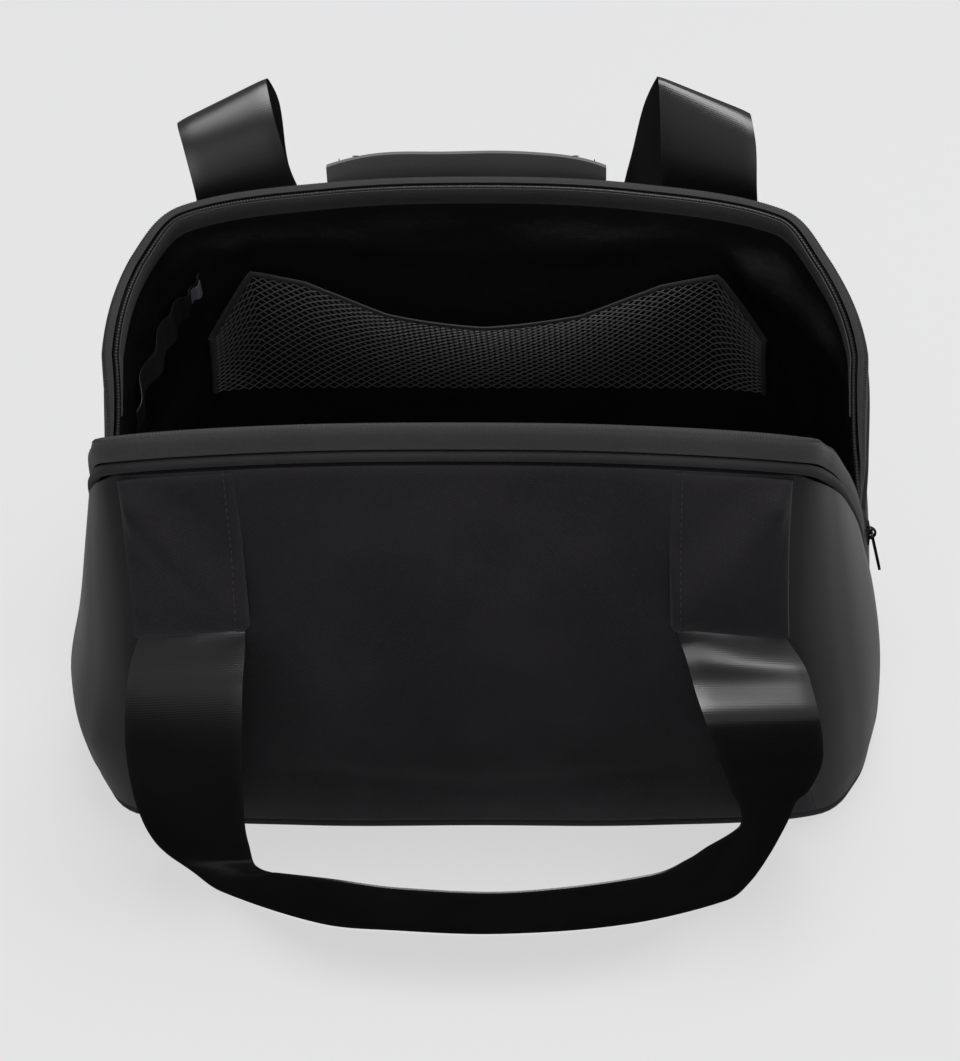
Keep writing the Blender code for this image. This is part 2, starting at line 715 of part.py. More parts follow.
def zip_slider():
    """Build the slider: two plates joined by a post between the coils, with a bridge on the outer plate."""
    c = slider_place()
    play = COIL_RADIUS + SLIDER_PLAY
    outer, inner = c.x + play, c.x - play
    face = outer + SLIDER_PLATE
    top, low = c.z + SLIDER_HEIGHT / 2, c.z - SLIDER_HEIGHT / 2
    half_y, post, bridge = SLIDER_WIDTH / 2, SLIDER_POST / 2, BRIDGE_WIDTH / 2
    reach = face + BRIDGE_RISE
    rise, drop = top - BRIDGE_BAR, low + BRIDGE_BAR
    boxes = (
        ((outer, -half_y, low), (face, half_y, top)),
        ((inner - SLIDER_PLATE, -half_y, low), (inner, half_y, top)),
        ((inner - GAP, -post, top - 2 * SLIDER_PLATE), (outer + GAP, post, top - GAP)),
        ((face - GAP, -bridge, rise - BRIDGE_BAR), (reach, bridge, rise)),
        ((face - GAP, -bridge, drop), (reach, bridge, drop + BRIDGE_BAR)),
        ((reach - BRIDGE_BAR, -bridge, drop), (reach, bridge, rise)),
    )
    return united("zip_slider", boxes, BLACK_METAL)


def tab_pivot():
    """Return the middle of the tab's bar, inside the slider's bridge."""
    c = slider_place()
    face = c.x + COIL_RADIUS + SLIDER_PLAY + SLIDER_PLATE
    return Vector((face + (BRIDGE_RISE - BRIDGE_BAR) / 2, 0.0, c.z))


def pull_tab():
    """Build the slotted pull tab, hanging from its bar through the bridge and leaning outwards."""
    half, side, slot = TAB_THICKNESS / 2, TAB_WIDTH / 2, TAB_SLOT / 2
    shoulder = TAB_LENGTH * 0.42
    boxes = (
        ((-half, -side, -half), (half, side, half)),
        ((-half, -side, -TAB_LENGTH), (half, -slot, half / 2)),
        ((-half, slot, -TAB_LENGTH), (half, side, half / 2)),
        ((-half, -slot - GAP, -shoulder - TAB_THICKNESS), (half, slot + GAP, -shoulder)),
        ((-half, -slot - GAP, -TAB_LENGTH), (half, slot + GAP, -TAB_LENGTH + TAB_THICKNESS * 1.5)),
    )
    pivot = bpy.data.objects.new("tab_pivot", None)
    bpy.context.scene.collection.objects.link(pivot)
    pivot.location = tab_pivot()
    pivot.rotation_euler = (0.0, -math.radians(TAB_LEAN_DEG), 0.0)
    for obj in united("pull_tab", boxes, BLACK_METAL):
        obj.parent = pivot


def build():
    """Build every piece of the bag."""
    for obj in list(bpy.data.objects):
        bpy.data.objects.remove(obj, do_unlink=True)

    wall_panel("front_panel", -FRONT_SEAM, FRONT_SEAM, CLOTH)
    wall_panel("right_gusset", FRONT_SEAM, BACK_SEAM, GUSSET_CLOTH)
    wall_panel("back_panel", BACK_SEAM, WHOLE_TURN - BACK_SEAM, CLOTH)
    wall_panel("left_gusset", -BACK_SEAM, -FRONT_SEAM, GUSSET_CLOTH)
    base_panel()

    back_end = WHOLE_TURN - ZIP_END
    piping("front_piping", -ZIP_END, ZIP_END)
    piping("back_piping", ZIP_END, back_end)
    for kind, build_half in (("zip_tape", zip_tape), ("zip_coil", zip_coil)):
        build_half(f"front_{kind}", TAPE_END - ZIP_END, ZIP_END - TAPE_END)
        build_half(f"back_{kind}", ZIP_END + TAPE_END, back_end - TAPE_END)

    lining()
    mesh_pocket(5)
    care_label()
    for panel, back in (("front", False), ("back", True)):
        patch(f"{panel}_left_patch", -1, back)
        patch(f"{panel}_right_patch", 1, back)
    handle("front_handle", FRONT_HANDLE, False)
    handle("back_handle", BACK_HANDLE, True)
    back_sleeve(12, 4)
    zip_slider()
    pull_tab()


build()
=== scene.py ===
"""Dressed scene of an open helmet bag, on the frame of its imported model.

Every piece is made again here from the sizes of the bag's pattern, with its weave, seams, stitches, folds
and zip teeth. Metres, +Z up, the front of the bag towards -Y, the zip slider towards +X.
"""
import logging
import math
from dataclasses import dataclass
from enum import Enum

import bmesh
import bpy
import numpy as np
from mathutils import Matrix, Vector


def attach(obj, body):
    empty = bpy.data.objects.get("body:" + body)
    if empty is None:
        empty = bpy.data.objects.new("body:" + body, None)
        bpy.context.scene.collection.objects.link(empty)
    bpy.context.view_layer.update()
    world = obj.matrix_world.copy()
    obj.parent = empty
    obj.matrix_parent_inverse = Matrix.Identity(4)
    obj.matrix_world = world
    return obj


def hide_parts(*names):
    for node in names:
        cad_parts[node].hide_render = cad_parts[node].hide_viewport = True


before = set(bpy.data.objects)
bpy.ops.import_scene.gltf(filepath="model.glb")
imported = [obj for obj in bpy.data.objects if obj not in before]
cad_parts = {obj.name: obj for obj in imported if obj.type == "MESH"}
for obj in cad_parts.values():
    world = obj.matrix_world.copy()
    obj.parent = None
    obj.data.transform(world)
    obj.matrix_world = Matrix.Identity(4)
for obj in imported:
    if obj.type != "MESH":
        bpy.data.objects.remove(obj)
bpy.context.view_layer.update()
LOG = logging.getLogger("helmet_bag")

# Stations round the right half of the bag, from the middle of the front to the middle of the back.
# floor, belly and seam are plan places on the wall: x in shares of the half width, y of the half depth.
# seam_z is in shares of the seam's height. Higher station numbers carry on round the left half.
#    floor_x floor_y belly_x belly_y seam_x seam_y seam_z
STATIONS = (
    (0.000, -0.930, 0.000, -1.080, 0.000, -1.000, 1.000),
    (0.405, -0.930, 0.375, -1.080, 0.365, -1.000, 0.994),
    (0.810, -0.870, 0.732, -1.050, 0.716, -0.950, 0.952),
    (0.915, -0.680, 0.872, -0.790, 0.800, -0.760, 0.856),
    (0.965, -0.430, 0.945, -0.465, 0.860, -0.470, 0.690),
    (0.988, -0.215, 0.966, -0.235, 0.908, -0.230, 0.520),
    (0.994, -0.100, 0.972, -0.110, 0.930, -0.112, 0.392),
    (0.995, 0.000, 0.973, 0.000, 0.936, 0.000, 0.330),
    (0.994, 0.100, 0.972, 0.110, 0.940, 0.112, 0.392),
    (0.988, 0.215, 0.966, 0.235, 0.946, 0.225, 0.530),
    (0.965, 0.430, 0.945, 0.465, 0.940, 0.465, 0.715),
    (0.915, 0.680, 0.880, 0.790, 0.852, 0.735, 0.846),
    (0.810, 0.870, 0.745, 1.000, 0.742, 0.905, 0.914),
    (0.405, 0.930, 0.385, 1.050, 0.375, 0.965, 0.962),
    (0.000, 0.930, 0.000, 1.050, 0.000, 0.975, 0.976),
)
FRONT_SEAM, ZIP_END, BACK_SEAM, BACK_MIDDLE, WHOLE_TURN = 2, 7, 12, 14, 28

# Outer face of the zip tape: curl_in and curl_up in shares of the tape's width,
# flat in shares of the flat tape.
#    curl_in curl_up flat
TAPE_PROFILE = (
    (0.000, 0.230, 0.00),
    (-0.020, 0.420, 0.17),
    (0.005, 0.640, 0.34),
    (0.065, 0.800, 0.50),
    (0.175, 0.900, 0.67),
    (0.320, 0.905, 0.84),
    (0.445, 0.820, 1.00),
)

# Height of the mesh pocket's hem, from its side to its middle.
#    station, share of the seam's height
POCKET_HEM = ((12.0, 0.600), (12.4, 0.800), (12.8, 0.800), (13.35, 0.750), (14.0, 0.735))

# The care label's way over the lining.
#    station, share of the seam's height
LABEL_ROUTE = ((16.0, 0.770), (16.25, 0.745), (16.55, 0.712), (16.9, 0.670), (17.4, 0.612), (18.0, 0.550))

# Handles, from the left strap to the right one: x in shares of the half width, y of the half depth,
# z of the webbing's width.
#    outer_x outer_y outer_z inner_x inner_y inner_z
FRONT_HANDLE = (
    (-0.734, -1.125, 2.330, -0.482, -1.170, 2.440),
    (-0.744, -1.179, 2.094, -0.484, -1.232, 2.250),
    (-0.755, -1.196, 1.578, -0.490, -1.268, 1.778),
    (-0.760, -1.170, 1.012, -0.502, -1.277, 1.236),
    (-0.760, -1.134, 0.536, -0.511, -1.277, 0.738),
    (-0.749, -1.107, 0.212, -0.508, -1.295, 0.540),
    (-0.724, -1.105, 0.040, -0.501, -1.325, 0.440),
    (-0.665, -1.188, 0.034, -0.473, -1.404, 0.520),
    (-0.584, -1.302, 0.034, -0.433, -1.504, 0.712),
    (-0.348, -1.469, 0.034, -0.298, -1.634, 0.930),
    (-0.186, -1.504, 0.034, -0.144, -1.679, 0.928),
    (0.066, -1.523, 0.034, 0.106, -1.696, 0.928),
    (0.362, -1.469, 0.034, 0.399, -1.621, 0.952),
    (0.580, -1.348, 0.034, 0.487, -1.504, 0.880),
    (0.633, -1.259, 0.034, 0.526, -1.429, 0.840),
    (0.686, -1.110, 0.050, 0.580, -1.345, 0.810),
    (0.728, -1.020, 0.240, 0.606, -1.310, 0.850),
    (0.745, -1.024, 0.500, 0.604, -1.312, 1.020),
    (0.766, -1.107, 0.821, 0.578, -1.339, 1.298),
    (0.781, -1.186, 1.274, 0.554, -1.366, 1.611),
    (0.773, -1.252, 1.667, 0.529, -1.384, 1.933),
    (0.759, -1.267, 1.995, 0.508, -1.384, 2.203),
    (0.746, -1.214, 2.190, 0.488, -1.309, 2.370),
    (0.733, -1.150, 2.300, 0.475, -1.205, 2.450),
)
BACK_HANDLE = (
    (-0.735, 1.075, 2.300, -0.486, 1.110, 2.450),
    (-0.738, 1.100, 2.180, -0.487, 1.150, 2.330),
    (-0.740, 1.150, 2.180, -0.488, 1.195, 2.330),
    (-0.738, 1.165, 2.450, -0.487, 1.210, 2.600),
    (-0.730, 1.110, 3.270, -0.485, 1.220, 3.340),
    (-0.735, 1.090, 3.900, -0.500, 1.230, 3.950),
    (-0.760, 1.155, 4.350, -0.535, 1.290, 4.480),
    (-0.780, 1.250, 4.500, -0.560, 1.420, 4.750),
    (-0.780, 1.340, 4.400, -0.560, 1.500, 4.700),
    (-0.760, 1.400, 4.060, -0.545, 1.570, 4.380),
    (-0.715, 1.390, 3.500, -0.540, 1.670, 3.520),
    (-0.520, 1.300, 3.050, -0.470, 1.700, 3.050),
    (-0.240, 1.270, 2.800, -0.220, 1.710, 2.800),
    (0.000, 1.275, 2.720, 0.000, 1.720, 2.720),
    (0.220, 1.270, 2.800, 0.200, 1.710, 2.800),
    (0.470, 1.290, 3.100, 0.330, 1.660, 3.110),
    (0.595, 1.380, 3.500, 0.370, 1.600, 3.680),
    (0.645, 1.410, 4.080, 0.405, 1.540, 4.380),
    (0.670, 1.330, 4.520, 0.435, 1.470, 4.750),
    (0.675, 1.250, 4.560, 0.440, 1.400, 4.800),
    (0.685, 1.155, 4.380, 0.445, 1.310, 4.520),
    (0.690, 1.090, 3.950, 0.450, 1.240, 3.990),
    (0.710, 1.110, 3.270, 0.466, 1.220, 3.350),
    (0.738, 1.165, 2.450, 0.487, 1.210, 2.600),
    (0.740, 1.150, 2.180, 0.488, 1.195, 2.330),
    (0.738, 1.100, 2.180, 0.487, 1.150, 2.330),
    (0.735, 1.075, 2.300, 0.486, 1.110, 2.450),
)


# Small sums on arrays

def unit(vectors: np.ndarray) -> np.ndarray:
    """Return the vectors at length one."""
    return vectors / np.maximum(np.linalg.norm(vectors, axis=-1, keepdims=True), 1e-12)


def ease(share: np.ndarray) -> np.ndarray:
    """Return shares clamped to 0..1 and eased at both ends."""
    share = np.clip(share, 0.0, 1.0)
    return share * share * (3 - 2 * share)


def hill(distance: np.ndarray, width: float) -> np.ndarray:
    """Return 1 at no distance, fading to nothing over a width."""
    return np.exp(-(distance / width) ** 2)


def smooth(values: list, knots: list, share: np.ndarray) -> np.ndarray:
    """Return the smooth curve between the middle two of four values.

    Args:
        values: Four values or arrays.
        knots: Where the four values lie.
        share: Share of the way from the second value to the third.

    Returns:
        The value at the share.
    """
    span = knots[2] - knots[1]
    start = (values[2] - values[0]) / (knots[2] - knots[0]) * span
    end = (values[3] - values[1]) / (knots[3] - knots[1]) * span
    s = share
    return ((1 + 2 * s) * (1 - s) ** 2 * values[1] + s * (1 - s) ** 2 * start
            + s * s * (3 - 2 * s) * values[2] - s * s * (1 - s) * end)


def smooth_rows(rows: np.ndarray, segments: int) -> np.ndarray:
    """Return rows of places with smooth rows added between them.

    Args:
        rows: Places, as rows by columns by 3.
        segments: How many steps each gap between two rows becomes.

    Returns:
        The finer rows.
    """
    moved = np.linalg.norm(np.diff(rows, axis=0), axis=2).mean(axis=1)
    knots = np.concatenate(((0.0,), np.cumsum(moved)))
    last = len(rows) - 1
    result = []
    for i in range(last):
        picks = [max(i - 1, 0), i, i + 1, min(i + 2, last)]
        near = knots[picks]
        near[0] -= 0.001 if i == 0 else 0.0
        near[3] += 0.001 if i == last - 1 else 0.0
        result += [smooth([rows[p] for p in picks], near, k / segments) for k in range(segments)]
    return np.array(result + [rows[-1]])


def widened(rows: np.ndarray, columns: int) -> np.ndarray:
    """Return rows of places with more columns, in straight steps between the old ones."""
    where = np.linspace(0.0, rows.shape[1] - 1.0, columns)
    low = np.minimum(where.astype(int), rows.shape[1] - 2)
    share = (where - low)[None, :, None]
    return rows[:, low] * (1 - share) + rows[:, low + 1] * share


# The bag's pattern

@dataclass(frozen=True)
class BagSizes:
    """Sizes of the bag that all its pieces share."""

    half_width: float = 0.188
    half_depth: float = 0.112
    seam_height: float = 0.208
    sway: float = 0.004
    rear_pull: float = 0.0068
    corner_push: float = 0.0060
    wall: float = 0.003
    base: float = 0.004
    lining: float = 0.001
    gap: float = 0.0003
    piping: float = 0.0023
    tape_width: float = 0.0135
    tape: float = 0.001
    coil: float = 0.0012
    lining_rise: float = 0.0075
    lining_play: float = 0.0015
    belly_share: float = 0.42
    wall_rows: int = 6
    webbing_width: float = 0.050
    webbing: float = 0.0016
    slider_station: float = 6.05

    @property
    def floor(self) -> float:
        """Return the height where the walls start."""
        return self.base + self.gap

    @property
    def lining_out(self) -> float:
        """Return how far inside the wall's face the lining starts."""
        return self.wall + self.gap

    @property
    def lining_in(self) -> float:
        """Return how far inside the wall's face the lining ends."""
        return self.lining_out + self.lining


class WallSurface:
    """The bag's wall as one smooth surface over stations and shares of its height."""

    def __init__(self, sizes: BagSizes) -> None:
        """Lay out the table's rows round the whole bag."""
        self.sizes = sizes
        half = np.array(STATIONS)
        left = half[-2:0:-1] * np.array((-1.0, 1.0, -1.0, 1.0, -1.0, 1.0, 1.0))
        self.rows = np.vstack((half, left))
        deep = np.diff(half[:, 3]) * sizes.half_depth / sizes.half_width
        right = np.concatenate(((0.0,), np.cumsum(np.hypot(np.diff(half[:, 2]), deep))))
        self.turn = 2 * right[-1]
        self.knots = np.concatenate((right, self.turn - right[-2:0:-1]))

    def knot(self, number: np.ndarray) -> np.ndarray:
        """Return the distance round the bag of whole station numbers."""
        return self.knots[number % WHOLE_TURN] + (number // WHOLE_TURN) * self.turn

    def columns(self, station: np.ndarray) -> np.ndarray:
        """Return the seven table columns at any stations."""
        low = np.floor(station).astype(int)
        numbers = [low + k for k in (-1, 0, 1, 2)]
        knots = [self.knot(n)[..., None] for n in numbers]
        values = [self.rows[n % WHOLE_TURN] for n in numbers]
        return smooth(values, knots, (station - low)[..., None])

    def plan(self, station: np.ndarray, share: np.ndarray) -> np.ndarray:
        """Return the wall's outer face without its sway."""
        station, share = np.broadcast_arrays(np.asarray(station, float), np.asarray(share, float))
        c, z, b = self.columns(station), self.sizes, self.sizes.belly_share
        low = (share - b) * (share - 1) / b
        middle = share * (share - 1) / (b * (b - 1))
        high = share * (share - b) / (1 - b)
        x = z.half_width * (low * c[..., 0] + middle * c[..., 2] + high * c[..., 4])
        y = z.half_depth * (low * c[..., 1] + middle * c[..., 3] + high * c[..., 5])
        return np.stack((x, y, z.floor + share * (z.seam_height * c[..., 6] - z.floor)), axis=-1)

    def outward(self, station: np.ndarray, share: np.ndarray) -> np.ndarray:
        """Return the level directions that point out of the wall."""
        along = self.plan(station + 0.02, share) - self.plan(station - 0.02, share)
        return unit(np.stack((along[..., 1], -along[..., 0], 0 * along[..., 0]), axis=-1))

    def point(self, station: np.ndarray, share: np.ndarray, inward: np.ndarray = 0.0) -> np.ndarray:
        """Return places on the wall, moved level towards the inside.

        Args:
            station: Stations round the bag.
            share: Shares of the wall's height.
            inward: How far inside the outer face.

        Returns:
            The places.
        """
        station = np.asarray(station, float)
        shift = np.asarray(inward, float)[..., None]
        places = self.plan(station, share) - self.outward(station, share) * shift
        tall = places[..., 2] / self.sizes.seam_height
        front = np.maximum(0.0, -places[..., 1] / self.sizes.half_depth)
        left = ease(-places[..., 0] / 0.150) * tall
        rear, corner = hill(places[..., 1] - 0.030, 0.035), hill(places[..., 1] - 0.085, 0.025)
        places[..., 0] += (self.sizes.rear_pull * rear - self.sizes.corner_push * corner / 2) * left
        places[..., 0] -= self.sizes.sway * front * tall
        places[..., 1] += self.sizes.corner_push * corner * left
        return places

    def seam(self, station: np.ndarray) -> tuple[np.ndarray, np.ndarray, np.ndarray]:
        """Return the mouth seam's places, its outward directions and the directions up the wall."""
        station = np.asarray(station, float)
        along = unit(self.point(station + 0.02, 1.0) - self.point(station - 0.02, 1.0))
        out = self.outward(station, 1.0)
        out = unit(out - along * (out * along).sum(axis=-1, keepdims=True))
        upward = np.cross(along, out)
        return self.point(station, 1.0), out, upward * np.sign(upward[..., 2:])

    def top(self, station: np.ndarray) -> np.ndarray:
        """Return the shares of the height where the walls stop below the piping."""
        places, _, upward = self.seam(station)
        room = self.sizes.piping + 3 * self.sizes.gap
        return 1.0 - room / (upward[..., 2] * (places[..., 2] - self.sizes.floor))

    def row(self, station: np.ndarray, row: np.ndarray) -> np.ndarray:
        """Return the shares of the height of the pattern's wall rows, 0 at the base."""
        return self.top(station) * row / self.sizes.wall_rows

    def height(self, station: np.ndarray, z: np.ndarray) -> np.ndarray:
        """Return the shares of the wall's height at heights above the ground."""
        return (z - self.sizes.floor) / (self.plan(station, 1.0)[..., 2] - self.sizes.floor)

    def curl(self, station: np.ndarray) -> np.ndarray:
        """Return 1 where the tape curls over the rim and 0 where it lies flat at the zip's ends."""
        return ease((np.abs(station % BACK_MIDDLE - ZIP_END) - 1.0) / 2.0)

    def flat_width(self, station: np.ndarray) -> np.ndarray:
        """Return the flat tape's width, which narrows where the two tapes meet."""
        z = self.sizes
        places, _, upward = self.seam(station)
        room = np.abs(places[..., 1]) - 2 * z.coil - 3 * z.gap - 0.0008
        lean = np.abs(upward[..., 1])
        meets = (lean > 0.05) & (upward[..., 1] * places[..., 1] < 0)
        reach = np.where(meets, room / np.maximum(lean, 0.05) - z.piping - 2 * z.gap, z.tape_width)
        return np.maximum(np.minimum(z.tape_width * 0.75, reach), z.tape)

    def tape(self, station: np.ndarray, where: np.ndarray) -> np.ndarray:
        """Return places on the zip tape's outer face.

        Args:
            station: Stations along the zip.
            where: Row numbers of the tape's profile, 0 at the piping and 6 at the coil.

        Returns:
            The places.
        """
        z = self.sizes
        station, where = np.broadcast_arrays(np.asarray(station, float), np.asarray(where, float))
        places, out, upward = self.seam(station)
        profile = np.array(TAPE_PROFILE)
        low = np.clip(np.floor(where).astype(int), 0, 5)
        picks = [profile[np.clip(low + k, 0, 6)] for k in (-1, 0, 1, 2)]
        place = smooth(picks, [-1.0, 0.0, 1.0, 2.0], (where - low)[..., None])
        curl = self.curl(station)
        flat_rise = z.piping + 2 * z.gap + place[..., 2] * self.flat_width(station)
        rise = curl * place[..., 1] * z.tape_width + (1 - curl) * flat_rise
        inward = curl * place[..., 0] * z.tape_width
        return places - out * inward[..., None] + upward * rise[..., None]

    def tape_frame(self, station: np.ndarray, where: np.ndarray) -> tuple[np.ndarray, np.ndarray]:
        """Return the directions across the tape and out of its face."""
        _, out, upward = self.seam(np.asarray(station, float) + 0 * np.asarray(where, float))
        run = unit(self.tape(station, where + 0.1) - self.tape(station, where - 0.1))
        side = (run * upward).sum(-1, keepdims=True) * out - (run * out).sum(-1, keepdims=True) * upward
        return run, unit(side)

    def coil(self, station: np.ndarray) -> np.ndarray:
        """Return the middle of the zip coil, just beyond the tape's edge."""
        z = self.sizes
        edge = self.tape(station, 6.0)
        run = unit(edge - self.tape(station, 5.0))
        _, out, upward = self.seam(station)
        side = unit((run * upward).sum(-1, keepdims=True) * out - (run * out).sum(-1, keepdims=True) * upward)
        return edge + run * (z.coil + 3 * z.gap) - side * z.tape / 2

    def pocket(self, station: np.ndarray, share: np.ndarray, inward: float = 0.0) -> np.ndarray:
        """Return places on the mesh pocket, whose share runs from its bottom seam to its hem."""
        middle = np.minimum(station, WHOLE_TURN - station)
        hem = np.interp(middle, *zip(*POCKET_HEM)) * self.sizes.seam_height
        across = (BACK_MIDDLE - middle) / (BACK_MIDDLE - BACK_SEAM)
        sag = np.maximum(0.0, 1 - across * across) ** 1.5
        z = 0.094 + (hem - 0.094) * share
        away = self.sizes.lining_in + 0.0008 + 0.038 * sag * share ** 1.4
        return self.point(station, self.height(station, z), away + inward)

    def spaced(self, first: float, last: float, step: float, share: float = 1.0) -> np.ndarray:
        """Return stations at even distances along the wall.

        Args:
            first: Station to start from.
            last: Station to end at.
            step: Distance between two stations.
            share: Share of the wall's height where the distance is taken.

        Returns:
            The stations.
        """
        fine = np.linspace(first, last, 800)
        moved = np.linalg.norm(np.diff(self.point(fine, share), axis=0), axis=1)
        run = np.concatenate(((0.0,), np.cumsum(moved)))
        return np.interp(np.linspace(0.0, run[-1], max(3, round(run[-1] / step) + 1)), run, fine)


# Meshes

class ClothMesh:
    """A mesh built from grids of places, with cloth coordinates in metres and wear along its edges."""

    def __init__(self, wear_reach: float = 0.0022) -> None:
        """Start an empty mesh whose edges are worn over a reach."""
        self.wear_reach = wear_reach
        self.places: list[np.ndarray] = []
        self.coords: list[np.ndarray] = []
        self.wear: list[np.ndarray] = []
        self.corners: list[np.ndarray] = []
        self.corner_coords: list[np.ndarray] = []
        self.caps: list[list[int]] = []
        self.count = 0

    def quads(self, ids: np.ndarray, coords: np.ndarray) -> None:
        """Add the faces between the rows and columns of a grid of vertex numbers."""
        for grid, store in ((ids, self.corners), (coords, self.corner_coords)):
            corners = np.stack((grid[:-1, :-1], grid[:-1, 1:], grid[1:, 1:], grid[1:, :-1]), axis=2)
            store.append(corners.reshape(-1, *corners.shape[2:]))

    def grid(self, places: np.ndarray, closed: bool = False, start: tuple = (0.0, 0.0)) -> np.ndarray:
        """Add one grid of places.

        Args:
            places: Places, as rows by columns by 3.
            closed: Whether the last column joins the first.
            start: Cloth coordinates of the first place.

        Returns:
            The vertex numbers, as rows by columns.
        """
        rows, columns = places.shape[:2]
        ring = np.concatenate((places, places[:, :1]), axis=1) if closed else places
        across = np.cumsum(np.linalg.norm(np.diff(ring, axis=1), axis=2).mean(axis=0))
        along = np.cumsum(np.linalg.norm(np.diff(places, axis=0), axis=2).mean(axis=1))
        across, along = np.concatenate(((0.0,), across)), np.concatenate(((0.0,), along))
        coords = np.stack(np.meshgrid(across + start[0], along + start[1]), axis=-1)
        rim = np.minimum(along, along[-1] - along)[:, None] + 0 * across
        if not closed:
            rim = np.minimum(rim, np.minimum(across, across[-1] - across))
        ids = self.count + np.arange(rows * columns).reshape(rows, columns)
        self.quads(np.concatenate((ids, ids[:, :1]), axis=1) if closed else ids, coords)
        self.places.append(places.reshape(-1, 3))
        self.coords.append(coords[:, :columns].reshape(-1, 2))
        self.wear.append(np.exp(-rim[:, :columns] / self.wear_reach).ravel())
        self.count += rows * columns
        return ids

    def shell(self, outer: np.ndarray, inner: np.ndarray, start: tuple = (0.0, 0.0)) -> None:
        """Add a closed wall between two grids that have the same rows and columns."""
        rims = []
        for places in (outer, inner):
            ids = self.grid(places, start=start)
            back = (ids[-1, -2::-1], ids[-2:-len(ids):-1, 0], ids[0, :1])
            rims.append(np.concatenate((ids[0], ids[1:, -1], *back)))
        coords = np.concatenate(self.coords)[np.stack(rims)]
        coords[1] += 0.0008
        self.quads(np.stack(rims), coords)

    def tube(self, rings: np.ndarray, start: tuple = (0.0, 0.0)) -> None:
        """Add a tube through rings of places, capped at both ends."""
        ids = self.grid(rings, closed=True, start=start)
        self.caps += [ids[0].tolist(), ids[-1].tolist()]

    def tub(self, outer: np.ndarray, inner: np.ndarray) -> None:
        """Add an open tub between two stacks of rings, each closed at its first ring."""
        rims = []
        for places in (outer, inner):
            ids = self.grid(places, closed=True)
            self.caps.append(ids[0].tolist())
            rims.append(np.concatenate((ids[-1], ids[-1, :1])))
        coords = np.concatenate(self.coords)[np.stack(rims)]
        self.quads(np.stack(rims), coords)

    def piece(self, name: str, material: bpy.types.Material, sharp: float = 55.0) -> bpy.types.Object:
        """Turn the grids into one object.

        Args:
            name: The piece's name.
            material: Its material.
            sharp: Angle in degrees past which an edge stays sharp.

        Returns:
            The object.
        """
        coords = np.concatenate(self.coords)
        corners = [np.concatenate(self.corner_coords).reshape(-1, 2)] + [coords[cap] for cap in self.caps]
        mesh = bpy.data.meshes.new(name)
        mesh.from_pydata(np.concatenate(self.places).tolist(), [],
                         np.concatenate(self.corners).tolist() + self.caps)
        layer = mesh.uv_layers.new(name="UVMap")
        layer.uv.foreach_set("vector", np.concatenate(corners).astype(np.float32).ravel())
        wear = mesh.attributes.new("wear", "FLOAT", "POINT")
        wear.data.foreach_set("value", np.concatenate(self.wear).astype(np.float32))
        data = bmesh.new()
        data.from_mesh(mesh)
        bmesh.ops.recalc_face_normals(data, faces=data.faces)
        data.to_mesh(mesh)
        data.free()
        return shown(name, mesh, material, sharp)


def shown(name: str, mesh: bpy.types.Mesh, material: bpy.types.Material, sharp: float) -> bpy.types.Object:
    """Put a mesh in the scene as a smooth object with one material."""
    mesh.shade_smooth()
    mesh.set_sharp_from_angle(angle=math.radians(sharp))
    mesh.materials.clear()
    mesh.materials.append(material)
    made = bpy.data.objects.new(name, mesh)
    bpy.context.scene.collection.objects.link(made)
    return made


def rings_round(centres: np.ndarray, out: np.ndarray, upward: np.ndarray, radius: float, sides: int,
                flat: float = 1.0) -> np.ndarray:
    """Return rings of places round a path.

    Args:
        centres: Places along the path.
        out: Directions in which the ring has its full radius.
        upward: Directions at a right angle to the path and to out.
        radius: The ring's radius.
        sides: Places in each ring.
        flat: Height of the ring along upward, as a share of its radius.

    Returns:
        The rings, as path places by sides by 3.
    """
    turns = np.arange(sides) * 2 * math.pi / sides
    level = out[:, None] * np.cos(turns)[None, :, None]
    rise = upward[:, None] * np.sin(turns)[None, :, None] * flat
    return centres[:, None] + (level + rise) * radius


def path_frame(places: np.ndarray, towards: np.ndarray) -> tuple[np.ndarray, np.ndarray]:
    """Return two directions across a path, the first as near as possible to a wanted one."""
    along = unit(np.gradient(places, axis=0))
    out = unit(towards - along * (towards * along).sum(-1, keepdims=True))
    return out, np.cross(along, out)


def ribbon_faces(rows: np.ndarray, thickness: float, rounding: float = 0.55) -> tuple[np.ndarray, np.ndarray]:
    """Return both faces of a ribbon whose long edges are thinner.

    Args:
        rows: Middle places, as rows along by columns across.
        thickness: The ribbon's thickness.
        rounding: Share of the thickness that the edges lose.

    Returns:
        The two faces.
    """
    normal = unit(np.cross(np.gradient(rows, axis=0), np.gradient(rows, axis=1)))
    place = np.linspace(-1.0, 1.0, rows.shape[1])[None, :, None]
    half = normal * thickness / 2 * (1 - rounding * np.abs(place) ** 10)
    return rows + half, rows - half


# Rows of stitches, teeth and strands

@dataclass(frozen=True)
class RowShape:
    """Sizes of a shape that repeats along a path."""

    spacing: float
    length: float
    width: float
    height: float
    core: float = 0.0


